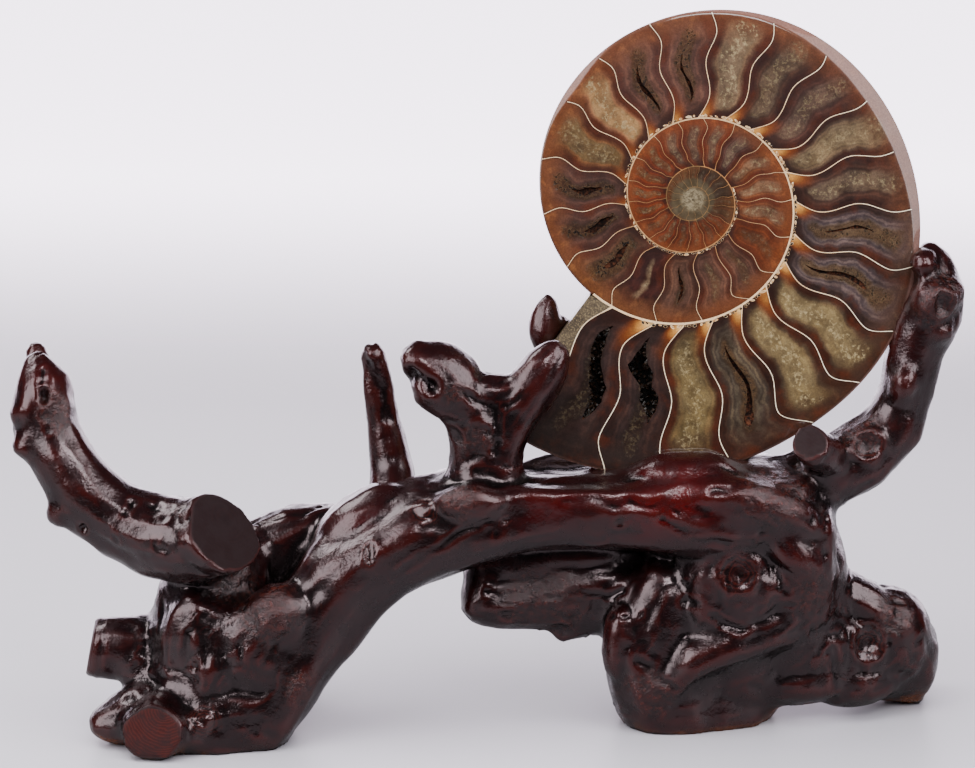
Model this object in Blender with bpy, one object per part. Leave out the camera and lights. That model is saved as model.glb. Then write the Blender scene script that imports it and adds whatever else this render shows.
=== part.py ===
"""A sawn and polished ammonite half, standing on its carved root-wood stand.

Frame: metres, +Z up, +X to the right of someone facing the sawn face, +Y away
from them. The origin is on the ground under the middle of the stand. The sizes
below are in millimetres and become metres through MM. The places are taken from
a point beside that middle, and move by MIDDLE.
"""

import math

import bmesh
import bpy
from mathutils import Vector

MM = 0.001
MIDDLE = (1.2, 2.3, 0.0)       # the middle of the stand's box, which becomes the origin
GAP = 0.3                      # space left between two pieces that meet

# The ammonite: a logarithmic spiral on a face that leans back in its seat
LEAN = math.radians(10.0)
FOSSIL_CENTRE = (73.5, 11.0, 190.4)
OUTER_RADIUS = 81.3            # venter at three o'clock on the last whorl
SPIRAL_RATE = 0.1237           # how fast the radius shrinks, per radian
SPIRAL_RATE_CHANGE = 0.00082
MOUTH_ANGLE = -131.8           # degrees, where the last whorl is broken off
MOUTH_LIP_RADIUS = 101.4
MOUTH_INNER_ANGLE = -137.2     # where the broken edge meets the whorl inside it
MOUTH_INNER_RADIUS = 50.3
LIP_ROUNDING = 6.2             # how much the lower lip of the mouth is rounded off
LIP_ROUNDING_SPAN = 9.1
# Where the outline strays from the spiral: (angle, how far in, span)
OUTLINE_FLATS = ((-65.0, 1.3, 18.0), (58.0, -1.1, 36.0))
FLANK_THICKNESS = 0.24         # half thickness, as a share of the whorl's radius
FLANK_CREST = 0.55             # where on that radius the flank is thickest
UMBILICAL_SEAM = 0.36          # where the next whorl inward comes out
UMBILICAL_THICKNESS = 0.081
UMBILICAL_WALL = 0.12
WHORLS_IN = 3
EDGE_BEVEL = 1.0               # polished edge round the sawn face
EDGE_BEVEL_DEPTH = 0.9
FOSSIL_COLUMNS = 44
FOSSIL_RINGS = (0.15, 0.20, 0.31, 0.37, 0.43, 0.54, 0.70, 0.84, 0.94, 1.0)

# The open hollows in the first two chambers: (across, up, half width) on the
# face, measured from the spiral's centre
FIRST_VUG = ((-31.5, -47.5, 1.2), (-33.6, -52.5, 2.2), (-34.7, -58.5, 2.7), (-34.7, -65.0, 2.8),
             (-35.2, -71.5, 2.6), (-37.2, -76.8, 1.4))
SECOND_VUG = ((-16.8, -51.5, 1.0), (-18.2, -56.0, 2.2), (-18.9, -60.0, 3.6), (-17.8, -63.5, 3.2),
              (-16.3, -68.0, 3.1), (-15.4, -73.0, 2.9), (-15.3, -77.0, 1.4))
VUG_DEPTH = 8.0
VUG_OVERSHOOT = 0.6            # the hollows' middle lines lie this far before the face
VUG_SIDES = 8
VUG_SPACING = 6.0
CRUST_THICKNESS = 1.0
CRUST_FLOOR = 1.6
CRUST_SIDES = 8
CRUST_GNARL = 0.2              # the crystals stand out unevenly
CRUST_TOP = 1.0                # the crystals stay this far below the polish

# The empty seat for the other half of the pair, its mirror image
OTHER_CENTRE = (-83.4, 11.0, 172.0)
SEAT_ROOM = 0.4

# Root limbs
RING_SPACING = 12.0            # along a limb
KNOB_SPACING = 7.0
SIDES = 12
TRUNK_SIDES = 14
SLIM_SIDES = 10
GNARL = 0.07
GROUND_DEPTH = 60.0

STONE = ("polished_ammonite", (0.42, 0.16, 0.07), 0.12)
CRYSTAL = ("vug_crystals", (0.10, 0.07, 0.05), 0.25)
WOOD = ("lacquered_root_wood", (0.075, 0.012, 0.010), 0.2)


# ---------------------------------------------------------------- the scene

def clear_scene():
    for item in list(bpy.data.objects):
        bpy.data.objects.remove(item, do_unlink=True)


def make_material(finish):
    name, colour, roughness = finish
    material = bpy.data.materials.get(name)
    if material:
        return material
    material = bpy.data.materials.new(name)
    material.use_nodes = True
    shader = material.node_tree.nodes["Principled BSDF"]
    shader.inputs["Base Color"].default_value = (*colour, 1.0)
    shader.inputs["Roughness"].default_value = roughness
    shader.inputs["Metallic"].default_value = 0.0
    return material


def make_object(name, points, faces, finish=None):
    """A closed mesh object; with no finish it is a cutter."""
    shape = bmesh.new()
    corners = [shape.verts.new((Vector(point) - Vector(MIDDLE)) * MM) for point in points]
    for face in faces:
        shape.faces.new([corners[index] for index in face])
    bmesh.ops.recalc_face_normals(shape, faces=shape.faces)
    mesh = bpy.data.meshes.new(name)
    shape.to_mesh(mesh)
    shape.free()
    piece = bpy.data.objects.new(name, mesh)
    bpy.context.collection.objects.link(piece)
    if finish:
        mesh.shade_smooth()
        mesh.set_sharp_from_angle(angle=math.radians(50.0))
        mesh.materials.append(make_material(finish))
    else:
        piece.hide_render = True
        piece.display_type = "WIRE"
    return piece


def add_boolean(piece, other, operation):
    step = piece.modifiers.new(operation.lower(), "BOOLEAN")
    step.operation = operation
    step.solver = "EXACT"
    step.object = other


# ------------------------------------------------------------- the ammonite

def venter_radius(angle):
    """Radius of the spiral's outer edge; angle in degrees, counterclockwise."""
    turn = math.radians(angle)
    radius = OUTER_RADIUS * math.exp(-SPIRAL_RATE * turn - SPIRAL_RATE_CHANGE * turn * turn)
    for middle, inward, span in OUTLINE_FLATS:
        radius -= inward * math.exp(-((angle - middle) / span) ** 2)
    return radius


def outline_radius(angle, grow=0.0):
    """Radius of the sawn face's outline, from the mouth once round to its edge."""
    mouth_edge = MOUTH_INNER_ANGLE + 360.0
    if angle <= mouth_edge:
        past_lip = max(0.0, MOUTH_ANGLE + LIP_ROUNDING_SPAN - angle) / LIP_ROUNDING_SPAN
        return venter_radius(angle) - LIP_ROUNDING * past_lip ** 2
    lip = Vector((MOUTH_LIP_RADIUS * math.cos(math.radians(MOUTH_ANGLE)),
                  MOUTH_LIP_RADIUS * math.sin(math.radians(MOUTH_ANGLE))))
    inner = Vector((MOUTH_INNER_RADIUS * math.cos(math.radians(MOUTH_INNER_ANGLE)),
                    MOUTH_INNER_RADIUS * math.sin(math.radians(MOUTH_INNER_ANGLE))))
    ray = Vector((math.cos(math.radians(angle)), math.sin(math.radians(angle))))
    edge = lip - inner
    start = inner + grow * Vector((edge.y, -edge.x)).normalized()
    across = ray.x * edge.y - ray.y * edge.x
    return (start.x * edge.y - start.y * edge.x) / across


def whorl_profile(share):
    """Half thickness of one whorl, as a share of its radius, at a share of it."""
    if share < FLANK_CREST:
        climb = min(1.0, max(0.0, (share - UMBILICAL_SEAM) / UMBILICAL_WALL))
        climb = climb * climb * (3.0 - 2.0 * climb)
        return UMBILICAL_THICKNESS + (FLANK_THICKNESS - UMBILICAL_THICKNESS) * climb
    outward = (share - FLANK_CREST) / (1.0 - FLANK_CREST)
    return FLANK_THICKNESS * math.sqrt(max(0.0, 1.0 - outward ** 2.2))


def flank_height(angle, radius):
    """How far the unsawn outside stands behind the sawn face."""
    if angle > MOUTH_INNER_ANGLE + 360.0:
        angle -= 360.0
    for whorl in range(WHORLS_IN + 1):
        whorl_radius = venter_radius(angle + 360.0 * whorl)
        share = radius / whorl_radius
        if share >= UMBILICAL_SEAM:
            return whorl_radius * whorl_profile(min(1.0, share))
    return whorl_radius * UMBILICAL_THICKNESS


def face_point(centre, mirror, across, up, behind):
    """A point given on the sawn face, and how far behind it."""
    return (centre[0] + mirror * across,
            centre[1] + up * math.sin(LEAN) + behind * math.cos(LEAN),
            centre[2] + up * math.cos(LEAN) - behind * math.sin(LEAN))


def make_ammonite(name, centre, mirror=1, grow=0.0, finish=None):
    """The half shell: flat sawn face, bevelled edge and the coiled outside."""
    mouth_edge = MOUTH_INNER_ANGLE + 360.0
    step = (mouth_edge - MOUTH_ANGLE) / FOSSIL_COLUMNS
    angles = [MOUTH_ANGLE + step * column for column in range(FOSSIL_COLUMNS + 1)]
    wall = MOUTH_ANGLE + 360.0 - mouth_edge
    angles += [mouth_edge + wall * share for share in (0.15, 0.3, 0.5, 0.7, 0.85)]
    columns = len(angles)

    points = []
    faces = []
    for angle in angles:
        turn = math.radians(angle)
        edge = outline_radius(angle, grow)
        rows = [(edge - EDGE_BEVEL, 0.0)]
        for share in reversed(FOSSIL_RINGS):
            height = max(EDGE_BEVEL_DEPTH, flank_height(angle, share * edge))
            rows.append((share * edge, EDGE_BEVEL_DEPTH if share == 1.0 else height))
        for radius, height in rows:
            reach = radius + grow
            behind = height + grow if height else -grow
            points.append(face_point(centre, mirror, reach * math.cos(turn),
                                     reach * math.sin(turn), behind))
    rows = len(FOSSIL_RINGS) + 1
    apex = len(points)
    points.append(face_point(centre, mirror, 0.0, 0.0, flank_height(0.0, 1.0) + grow))
    for column in range(columns):
        here = column * rows
        there = ((column + 1) % columns) * rows
        for row in range(rows - 1):
            faces.append((here + row, there + row, there + row + 1))
            faces.append((here + row, there + row + 1, here + row + 1))
        faces.append((here + rows - 1, there + rows - 1, apex))
    faces.append([column * rows for column in range(columns)])
    return make_object(name, points, faces, finish)


# ----------------------------------------------------- limbs and other lofts

def limb(route, start="round", end="round", saw=None, square=2.0, gnarl=GNARL, toward=(0, 1, 0),
         sides=SIDES, spacing=RING_SPACING):
    """A limb's shape: a route of (x, y, z, side radius, depth radius)."""
    return {"route": route, "start": start, "end": end, "saw": saw, "square": square,
            "gnarl": gnarl, "toward": toward, "sides": sides, "spacing": spacing}


def smooth_route(route, spacing):
    """Points along a smooth curve through the route's own stations."""
    stations = [list(station) + [station[3]] * (5 - len(station)) for station in route]
    stations = [stations[0]] + stations + [stations[-1]]
    result = []
    for index in range(1, len(stations) - 2):
        before, here, there, after = stations[index - 1:index + 3]
        run = math.dist(here[:3], there[:3])
        steps = max(1, round(run / spacing))
        for step in range(steps):
            t = step / steps
            result.append([0.5 * (2 * b + (c - a) * t + (2 * a - 5 * b + 4 * c - d) * t ** 2
                                  + (3 * b - a - 3 * c + d) * t ** 3)
                           for a, b, c, d in zip(before, here, there, after)])
    result.append(stations[-1])
    return result


def ring_points(centre, along, toward, side, depth, shape, count, number):
    """One cross-section ring, squared or gnarled as the limb's shape says."""
    behind = (Vector(toward) - Vector(toward).dot(along) * along).normalized()
    across = along.cross(behind)
    ring = []
    for index in range(count):
        angle = math.tau * index / count
        cosine, sine = math.cos(angle), math.sin(angle)
        power = shape["square"]
        reach = (abs(cosine) ** power + abs(sine) ** power) ** (-1.0 / power)
        knots = 0.6 * math.cos(3 * angle + 0.55 * number) + 0.4 * math.cos(5 * angle - 0.8 * number)
        reach *= 1.0 + shape["gnarl"] * knots
        ring.append(centre + across * cosine * side * reach + behind * sine * depth * reach)
    return ring


def loft(name, shape, grow=0.0, finish=None):
    """Skin a limb: rings along its route, with rounded or sawn ends."""
    path = smooth_route(shape["route"], shape["spacing"])
    count = shape["sides"]
    places = [Vector(station[:3]) for station in path]
    last = len(path) - 1
    rings = []
    for number, station in enumerate(path):
        along = (places[min(number + 1, last)] - places[max(number - 1, 0)]).normalized()
        if number == last and shape["saw"]:
            along = Vector(shape["saw"]).normalized()
        side, depth = station[3] + grow, station[4] + grow
        centre = places[number]
        if number == 0 and shape["start"] == "round":
            for inset, ahead in ((0.5, 0.62), (0.85, 0.36)):
                rings.append(ring_points(centre - along * ahead * side, along, shape["toward"],
                                         side * inset, depth * inset, shape, count, number))
        if number == 0 and shape["start"] == "sawn":
            centre = centre - along * grow
        if number == last and shape["end"] == "sawn":
            centre = centre + along * grow
        rings.append(ring_points(centre, along, shape["toward"], side, depth, shape, count, number))
        if number == last and shape["end"] == "round":
            for inset, ahead in ((0.85, 0.36), (0.5, 0.62)):
                rings.append(ring_points(centre + along * ahead * side, along, shape["toward"],
                                         side * inset, depth * inset, shape, count, number))

    points = [tuple(point) for ring in rings for point in ring]
    faces = []
    for number in range(len(rings) - 1):
        for index in range(count):
            here = number * count
            there = here + count
            after = (index + 1) % count
            faces.append((here + index, here + after, there + after))
            faces.append((here + index, there + after, there + index))
    faces.append(list(range(count)))
    faces.append([(len(rings) - 1) * count + index for index in range(count)])
    return make_object(name, points, faces, finish)


# -------------------------------------------------------------- the stand

TRUNK = [
    limb([(-86, -22, 4, 15, 20), (-76, -20, 22, 16, 19), (-65, -17, 39, 16.5, 19),
          (-53, -14, 55, 17, 20), (-39, -11, 66, 17, 21), (-21, -8, 74, 18, 22),
          (-3, -5, 78, 16, 24), (19, -3, 80, 13.5, 25), (41, -2, 81, 14, 26),
          (62, -2, 81, 17, 27), (84, -1, 80, 20, 26), (104, 0, 79, 19, 23),
          (117, 1, 80, 13, 16)], square=2.4, sides=TRUNK_SIDES),
    # the ridge along the front of the seat
    limb([(-20, -20, 84, 5), (-3, -22, 87, 5), (19, -23, 88, 4.5), (41, -23, 88, 4.5),
          (60, -22, 89, 5)], sides=SLIM_SIDES),
    # the bump that stands in front of the fossil
    limb([(50, -10, 86, 9), (64, -14, 92, 10), (80, -13, 92, 10), (96, -10, 88, 9)],
         sides=SLIM_SIDES),
    # the back of the seat, behind the fossil
    limb([(8, 6, 83, 9), (24, 9, 88, 9.5), (44, 12, 88, 9), (66, 14, 88, 9), (92, 12, 88, 9)],
         sides=SLIM_SIDES),
    # the fold that sweeps down to the right
    limb([(72, -20, 88, 7), (91, -22, 88, 8), (107, -19, 80, 8.5), (116, -14, 70, 8)],
         sides=SLIM_SIDES),
]
RIGHT_BODY = [
    limb([(92, -2, 74, 20, 20), (89, -3, 58, 23, 22), (88, -2, 38, 22, 22), (92, 2, 18, 19, 20),
          (94, 4, 6, 15, 17)]),
    limb([(110, 0, 74, 16), (115, 0, 60, 14), (117, 2, 45, 14), (116, 5, 28, 15),
          (113, 8, 15, 12)]),
    limb([(115, -9, 68, 7), (119, -13, 58, 8), (117, -13, 46, 8), (105, -16, 38, 7.5),
          (87, -20, 33, 7), (74, -21, 27, 6.5), (66, -18, 18, 6)], sides=SLIM_SIDES),
]
LEFT_LEG = [
    limb([(-99, -9, 62, 17, 17), (-100, -8, 50, 20, 20), (-101, -8, 39, 21, 24),
          (-101, -10, 24, 22.5, 28), (-97, -13, 8, 24, 31), (-95, -14, -8, 23, 31)]),
    # the shelf under the left seat
    limb([(-98, 0, 48, 14), (-86, 4, 58, 14), (-70, 6, 65, 13), (-52, 6, 66, 12)]),
]
LEFT_ARM = [
    limb([(-160, -12, 136, 5), (-158, -13, 130, 9), (-157, -15, 121, 11), (-155, -17, 111, 10.5),
          (-149, -19, 100, 11), (-140, -21, 88, 12.5), (-130, -23, 80, 13.5),
          (-118, -25, 75, 14.5), (-105, -29, 74, 15), (-92, -35, 79, 15.2)],
         end="sawn", saw=(0.63, -0.51, 0.59)),
    # the slab of bark left on its outer side
    limb([(-161, -11, 128, 4, 6), (-165, -11, 113, 4.5, 7), (-160, -13, 99, 4, 6)],
         sides=SLIM_SIDES),
]
LEFT_ARM_LOBE = [
    limb([(-152, -13, 99, 6), (-156, -3, 106, 6.5), (-160, 5, 118, 6), (-163, 9, 129, 4.7),
          (-164, 10, 136, 3.3)], sides=SLIM_SIDES),
]
LEFT_STUB = [
    limb([(-99, -10, 28, 12.5), (-117, -11, 29, 11.5), (-131, -12, 29.5, 10.5),
          (-144, -12, 30, 10)], end="sawn", saw=(-0.97, -0.1, 0.2)),
]
LEFT_FOOT = [
    limb([(-104, -10, 10, 15, 12), (-113, -24, 9, 13, 11), (-118, -38, 9, 12, 10.5),
          (-118, -49, 10, 11.5, 9.8)], end="sawn", saw=(-0.1, -0.96, 0.25), toward=(0, 0, 1)),
    limb([(-113, -27, 7, 10), (-126, -29, 6.5, 8), (-136, -29, 5.5, 5), (-141, -28, 5, 2.5)],
         sides=SLIM_SIDES),
    # the web up to the stub
    limb([(-106, -11, 22, 12), (-118, -17, 18, 9), (-127, -23, 10, 7)], sides=SLIM_SIDES),
]
FORK_LEFT_PRONG = [
    limb([(-4, -10, 84, 11), (-3, -11, 96, 10.5), (-3, -11, 106, 9.3), (-6, -12, 117, 9.3),
          (-12, -13, 127, 9), (-20, -14, 134, 8), (-26, -15, 139, 6)]),
    limb([(-6, -13, 119, 7), (-14, -16, 122, 6.2), (-22, -18, 126, 4.8)], sides=SLIM_SIDES),
]
FORK_RIGHT_PRONG = [
    limb([(1, -10, 86, 11), (3, -11, 97, 10), (5, -11, 106, 9), (9, -11, 116, 8.6),
          (16, -11, 126, 8.8), (22, -11, 134, 7.8), (25, -11, 139, 5.3)]),
]
RIGHT_REAR_PROP = [
    limb([(58, 12, 84, 9), (57, 24, 94, 9.5), (49, 30, 108, 8), (41, 31, 122, 6.7),
          (33, 29, 134, 5.8), (26, 27, 140, 5), (21, 25, 142, 4)], sides=SLIM_SIDES),
    # the curled knob at its tip
    limb([(22.5, 24, 151, 3), (21, 24, 146, 5), (20.5, 23, 139, 5.4), (21, 23, 134, 4)],
         sides=SLIM_SIDES, spacing=KNOB_SPACING),
]
LEFT_REAR_PROP = [
    limb([(-33, 6, 66, 9), (-33, 18, 74, 9), (-36, 28, 88, 7.5), (-39, 31, 105, 6.3),
          (-41, 30, 121, 5.2), (-43, 28, 131, 3.9)], sides=SLIM_SIDES),
]
LOWER_ROOT = [
    limb([(76, 6, 46, 17), (52, 6, 46, 16), (34, 5, 46, 14.5), (17, 4, 44.5, 13), (4, 2, 44, 11.5),
          (-3, 1, 44, 9)], gnarl=0.11),
    limb([(42, 3, 42, 10), (33, 1, 35, 7.3), (27, -1, 31, 4)], sides=SLIM_SIDES),
]
RIGHT_FOOT = [
    limb([(66, 0, 50, 17, 19), (62, -2, 33, 20.5, 21), (64, -3, 16, 21, 21.5),
          (68, -4, 3, 19, 20), (69, -4, -8, 18, 19)]),
    limb([(70, -4, 10, 15, 15), (86, -8, 6, 11, 12), (97, -7, 4, 6, 8)]),
]
RIGHT_BLOCK = [
    limb([(116, 9, 41, 12, 13), (131, 14, 31, 16, 18), (146, 18, 20.5, 18.5, 21),
          (163, 21, 16.5, 17, 19)], end="sawn", saw=(0.97, -0.2, 0.1), square=2.4),
]
RIGHT_ARM = [
    limb([(108, 0, 84, 14), (122, 2, 91, 13.5), (136, 3, 98, 13), (147, 4, 109, 11.3),
          (152, 5, 122, 10), (154, 6, 136, 10), (159, 7, 149, 11), (162, 8, 160, 9.7),
          (161, 9, 168, 6.5), (158, 10, 173, 3.4)]),
]
RIGHT_ARM_STUB = [
    limb([(127, -1, 95, 7.5), (119, -12, 103, 7.2), (114, -20, 108, 6.8)], end="sawn",
         saw=(-0.3, -0.8, 0.5)),
]
REAR_FOOT = [
    limb([(-98, 0, 40, 14), (-94, 20, 28, 13), (-90, 36, 13, 12), (-88, 43, 0, 12),
          (-88, 46, -8, 12)], toward=(1, 0, 0)),
]

# Each limb in turn, with the limbs that it grows out of or lies against, and
# the seats that are carved into it
STAND = [
    ("trunk", TRUNK, (), ("right", "left")),
    ("right_body", RIGHT_BODY, ("trunk",), ("right",)),
    ("left_leg", LEFT_LEG, ("trunk",), ("left",)),
    ("left_arm", LEFT_ARM, ("trunk", "left_leg"), ("left",)),
    ("left_arm_lobe", LEFT_ARM_LOBE, ("left_arm",), ("left",)),
    ("left_stub", LEFT_STUB, ("trunk", "left_leg"), ()),
    ("left_foot", LEFT_FOOT, ("trunk", "left_leg", "left_stub"), ()),
    ("fork_left_prong", FORK_LEFT_PRONG, ("trunk",), ("left",)),
    ("fork_right_prong", FORK_RIGHT_PRONG, ("trunk", "fork_left_prong"), ("right",)),
    ("right_rear_prop", RIGHT_REAR_PROP, ("trunk",), ("right",)),
    ("left_rear_prop", LEFT_REAR_PROP, ("trunk",), ("left",)),
    ("lower_root", LOWER_ROOT, ("trunk", "right_body"), ()),
    ("right_foot", RIGHT_FOOT, ("trunk", "right_body", "lower_root"), ()),
    ("right_block", RIGHT_BLOCK, ("trunk", "right_body"), ()),
    ("right_arm", RIGHT_ARM, ("trunk", "right_body"), ("right",)),
    ("right_arm_stub", RIGHT_ARM_STUB, ("trunk", "right_arm", "right_body"), ("right",)),
    ("rear_foot", REAR_FOOT, ("trunk", "left_leg"), ()),
]


def make_ground_cutter():
    """Everything below the ground plane, to saw the feet off flat."""
    wide, low = 250.0, -GROUND_DEPTH
    corners = [(x, y, z) for z in (low, 0.0) for x, y in
               ((-wide, -wide), (wide, -wide), (wide, wide), (-wide, wide))]
    sides = [(0, 1, 5, 4), (1, 2, 6, 5), (2, 3, 7, 6), (3, 0, 4, 7), (3, 2, 1, 0), (4, 5, 6, 7)]
    return make_object("ground_cutter", corners, sides)


def make_stand(ground):
    seats = {"right": make_ammonite("right_seat_cutter", FOSSIL_CENTRE, 1, SEAT_ROOM),
             "left": make_ammonite("left_seat_cutter", OTHER_CENTRE, -1, SEAT_ROOM)}
    room = {}
    for name, shapes, neighbours, carved in STAND:
        room[name] = [loft(f"{name}_room_{number}", shape, GAP) for number, shape in enumerate(shapes)]
        piece = loft(name, shapes[0], 0.0, WOOD)
        for number, shape in enumerate(shapes[1:], 1):
            add_boolean(piece, loft(f"{name}_swelling_{number}", shape), "UNION")
        for neighbour in neighbours:
            for cutter in room[neighbour]:
                add_boolean(piece, cutter, "DIFFERENCE")
        for seat in carved:
            add_boolean(piece, seats[seat], "DIFFERENCE")
        add_boolean(piece, ground, "DIFFERENCE")


# ------------------------------------------------------- vugs and crystals

def vug_shape(stations, narrower, shallower, sides=VUG_SIDES, gnarl=0.0):
    """A trough along the stations, narrow and deep."""
    route = []
    for across, up, half_width in stations:
        place = face_point(FOSSIL_CENTRE, 1, across, up, -VUG_OVERSHOOT)
        route.append((*place, max(0.5, half_width - narrower), VUG_DEPTH - shallower))
    back = (0.0, math.cos(LEAN), -math.sin(LEAN))
    return limb(route, toward=back, sides=sides, gnarl=gnarl, spacing=VUG_SPACING)


def make_crust(name, stations, polish_cutter):
    """The crystal lining of a vug, hollow and open at the face."""
    crust = loft(name, vug_shape(stations, GAP, GAP), 0.0, CRYSTAL)
    room = vug_shape(stations, GAP + CRUST_THICKNESS, GAP + CRUST_FLOOR, CRUST_SIDES, CRUST_GNARL)
    hollow = loft(f"{name}_hollow", room)
    add_boolean(crust, hollow, "DIFFERENCE")
    add_boolean(crust, polish_cutter, "DIFFERENCE")


def make_polish_cutter():
    """A slab in front of the face, down to where the crystals may reach."""
    corners = []
    for behind in (-20.0, CRUST_TOP):
        for across, up in ((-60.0, -95.0), (10.0, -95.0), (10.0, -30.0), (-60.0, -30.0)):
            corners.append(face_point(FOSSIL_CENTRE, 1, across, up, behind))
    sides = [(0, 1, 5, 4), (1, 2, 6, 5), (2, 3, 7, 6), (3, 0, 4, 7), (3, 2, 1, 0), (4, 5, 6, 7)]
    return make_object("polish_cutter", corners, sides)


def make_fossil():
    fossil = make_ammonite("ammonite_half", FOSSIL_CENTRE, 1, 0.0, STONE)
    for name, stations in (("first_vug", FIRST_VUG), ("second_vug", SECOND_VUG)):
        add_boolean(fossil, loft(f"{name}_cutter", vug_shape(stations, 0.0, 0.0)), "DIFFERENCE")
    polish_cutter = make_polish_cutter()
    make_crust("first_vug_crystals", FIRST_VUG, polish_cutter)
    make_crust("second_vug_crystals", SECOND_VUG, polish_cutter)


clear_scene()
make_fossil()
make_stand(make_ground_cutter())
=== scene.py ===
"""Looks of a polished ammonite half on its lacquered root-wood stand.

Lengths are in metres where Blender holds them, and in millimetres on the sawn face.
"""

import math

import bmesh
import bpy
import numpy as np
from mathutils import Matrix, Vector
from mathutils.bvhtree import BVHTree


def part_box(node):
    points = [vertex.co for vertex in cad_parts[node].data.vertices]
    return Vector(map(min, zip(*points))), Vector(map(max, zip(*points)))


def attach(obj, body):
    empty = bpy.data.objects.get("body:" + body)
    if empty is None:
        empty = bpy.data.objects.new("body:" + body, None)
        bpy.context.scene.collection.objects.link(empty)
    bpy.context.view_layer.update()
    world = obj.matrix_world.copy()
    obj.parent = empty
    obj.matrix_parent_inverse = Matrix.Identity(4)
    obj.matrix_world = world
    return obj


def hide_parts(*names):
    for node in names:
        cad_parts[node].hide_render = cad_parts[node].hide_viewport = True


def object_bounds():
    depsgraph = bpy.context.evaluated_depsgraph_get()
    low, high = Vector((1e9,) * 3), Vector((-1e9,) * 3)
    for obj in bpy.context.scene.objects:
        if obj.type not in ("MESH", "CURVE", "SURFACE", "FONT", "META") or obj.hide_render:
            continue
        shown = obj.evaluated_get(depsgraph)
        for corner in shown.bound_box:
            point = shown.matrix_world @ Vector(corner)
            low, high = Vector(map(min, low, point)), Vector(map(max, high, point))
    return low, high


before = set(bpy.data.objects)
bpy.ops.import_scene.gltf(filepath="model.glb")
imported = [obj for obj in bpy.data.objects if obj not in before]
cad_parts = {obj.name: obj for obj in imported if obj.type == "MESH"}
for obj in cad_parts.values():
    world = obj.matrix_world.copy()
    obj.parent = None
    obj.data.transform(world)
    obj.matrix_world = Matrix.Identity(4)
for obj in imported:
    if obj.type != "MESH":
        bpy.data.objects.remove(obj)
cad_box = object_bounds()


# ---------------------------------------------------------- the root-wood stand
# One washed root, sawn off flat where it stands and where side roots were trimmed, its
# bark scraped away. It was stained dark red and brushed with thick gloss lacquer, which
# lies thick in the hollows and lets the red through on the ridges. Painted shade darkens
# the hollows nearly to black, and the wood where it faces down or up.

STAND_NODES = ("trunk", "right_body", "left_leg", "left_arm", "left_arm_lobe", "left_stub",
               "left_foot", "fork_left_prong", "fork_right_prong", "right_rear_prop",
               "left_rear_prop", "lower_root", "right_foot", "right_block", "right_arm",
               "right_arm_stub", "rear_foot")
SAME_POINT = 0.00002       # points closer than this are taken as one
WOOD_CELL = 0.00127        # the stand is one closed skin of cells this size
LIMB_OVERLAP = 0.0005      # each limb grows this much, so that they knit into one root
FORK_ROUNDING = 19         # rounds of evening that round the forks off
ROUNDING_LOSS = 0.0002     # the rounding shrinks the root by about this much
GRAIN_SPREAD = 70          # rounds of evening that spread the grain's direction
SAWN_FACE_AREA = 0.00011   # square metres; a smaller flat face isn't a saw cut,
SAWN_FACE_TRIANGLES = 6    # nor is one of fewer triangles
SAW_REACH = 0.0022         # the skin is looked at this far from a sawn face, and keeps to
SAW_DEPTH = 0.0012         # its plane where it is no farther off it than this,
SAW_ASIDE = 0.0008         # no farther beside it
SAW_TURN = 0.75            # and faces nearly the same way
HEARTWOOD_OFFSET = Vector((0.005, 0.0, 0.009))
IN_FRONT = -0.3            # a place in front of the whole stand
FOSSIL_CLEARANCE = 0.0004
FOSSIL_REACH = 0.002       # skin this near to the fossil's box may have to give way
TABLE_CONTACT = 0.0006     # skin this low is pressed flat on the table
BARE_WOOD_TOP = 0.01       # the lacquer stops this high under the feet


def point_array(mesh, what="position"):
    """The mesh's points, or their normals, as rows of three numbers."""
    values = np.zeros(len(mesh.vertices) * 3, np.float32)
    if what == "position":
        mesh.vertices.foreach_get("co", values)
    else:
        mesh.vertex_normals.foreach_get("vector", values)
    return values.reshape(-1, 3).astype(float)


def set_points(mesh, points):
    """Moves every point of a mesh."""
    mesh.vertices.foreach_set("co", points.astype(np.float32).ravel())
    mesh.update()


def store(mesh, name, values):
    """Keeps a number or a colour for every point, for the shader to read."""
    values = np.asarray(values, np.float32)
    if values.ndim == 1:
        mesh.attributes.new(name, "FLOAT", "POINT").data.foreach_set("value", values)
        return
    if values.shape[1] == 3:
        values = np.hstack([values, np.ones((len(values), 1), np.float32)])
    mesh.attributes.new(name, "FLOAT_COLOR", "POINT").data.foreach_set("color", values.ravel())


def in_scene(name, data):
    """A new object for a mesh, a light or a camera."""
    thing = bpy.data.objects.new(name, data)
    bpy.context.scene.collection.objects.link(thing)
    return thing


def smooth(low, high, value):
    """0 below low, 1 above high, with an even slope at both ends."""
    share = np.clip((value - low) / (high - low), 0.0, 1.0)
    return share * share * (3.0 - 2.0 * share)


def evened(values, edges, rounds, strength=0.5):
    """Each point's values drawn towards those of its neighbours, round after round."""
    first, second = edges.T
    count = np.bincount(edges.ravel(), minlength=len(values))[:, None]
    for _ in range(rounds):
        total = np.empty_like(values)
        for part in range(values.shape[1]):
            total[:, part] = (np.bincount(first, values[second, part], len(values))
                              + np.bincount(second, values[first, part], len(values)))
        values = values + strength * (total / count - values)
    return values


CHANCE_SIDE = 48
chance = np.random.default_rng(41).random((CHANCE_SIDE,) * 3) * 2.0 - 1.0


def field(points, size, seed=0.0):
    """Even-sized random swells, -1 to 1, of a size in metres."""
    place = points / size + 11.3 * seed
    base = np.floor(place).astype(int)
    part = place - base
    part = part * part * (3.0 - 2.0 * part)
    total = np.zeros(len(points))
    for corner in range(8):
        step = np.array([corner & 1, corner >> 1 & 1, corner >> 2])
        weight = np.prod(np.where(step, part, 1.0 - part), axis=1)
        x, y, z = ((base + step) % CHANCE_SIDE).T
        total += weight * chance[x, y, z]
    return total


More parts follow.
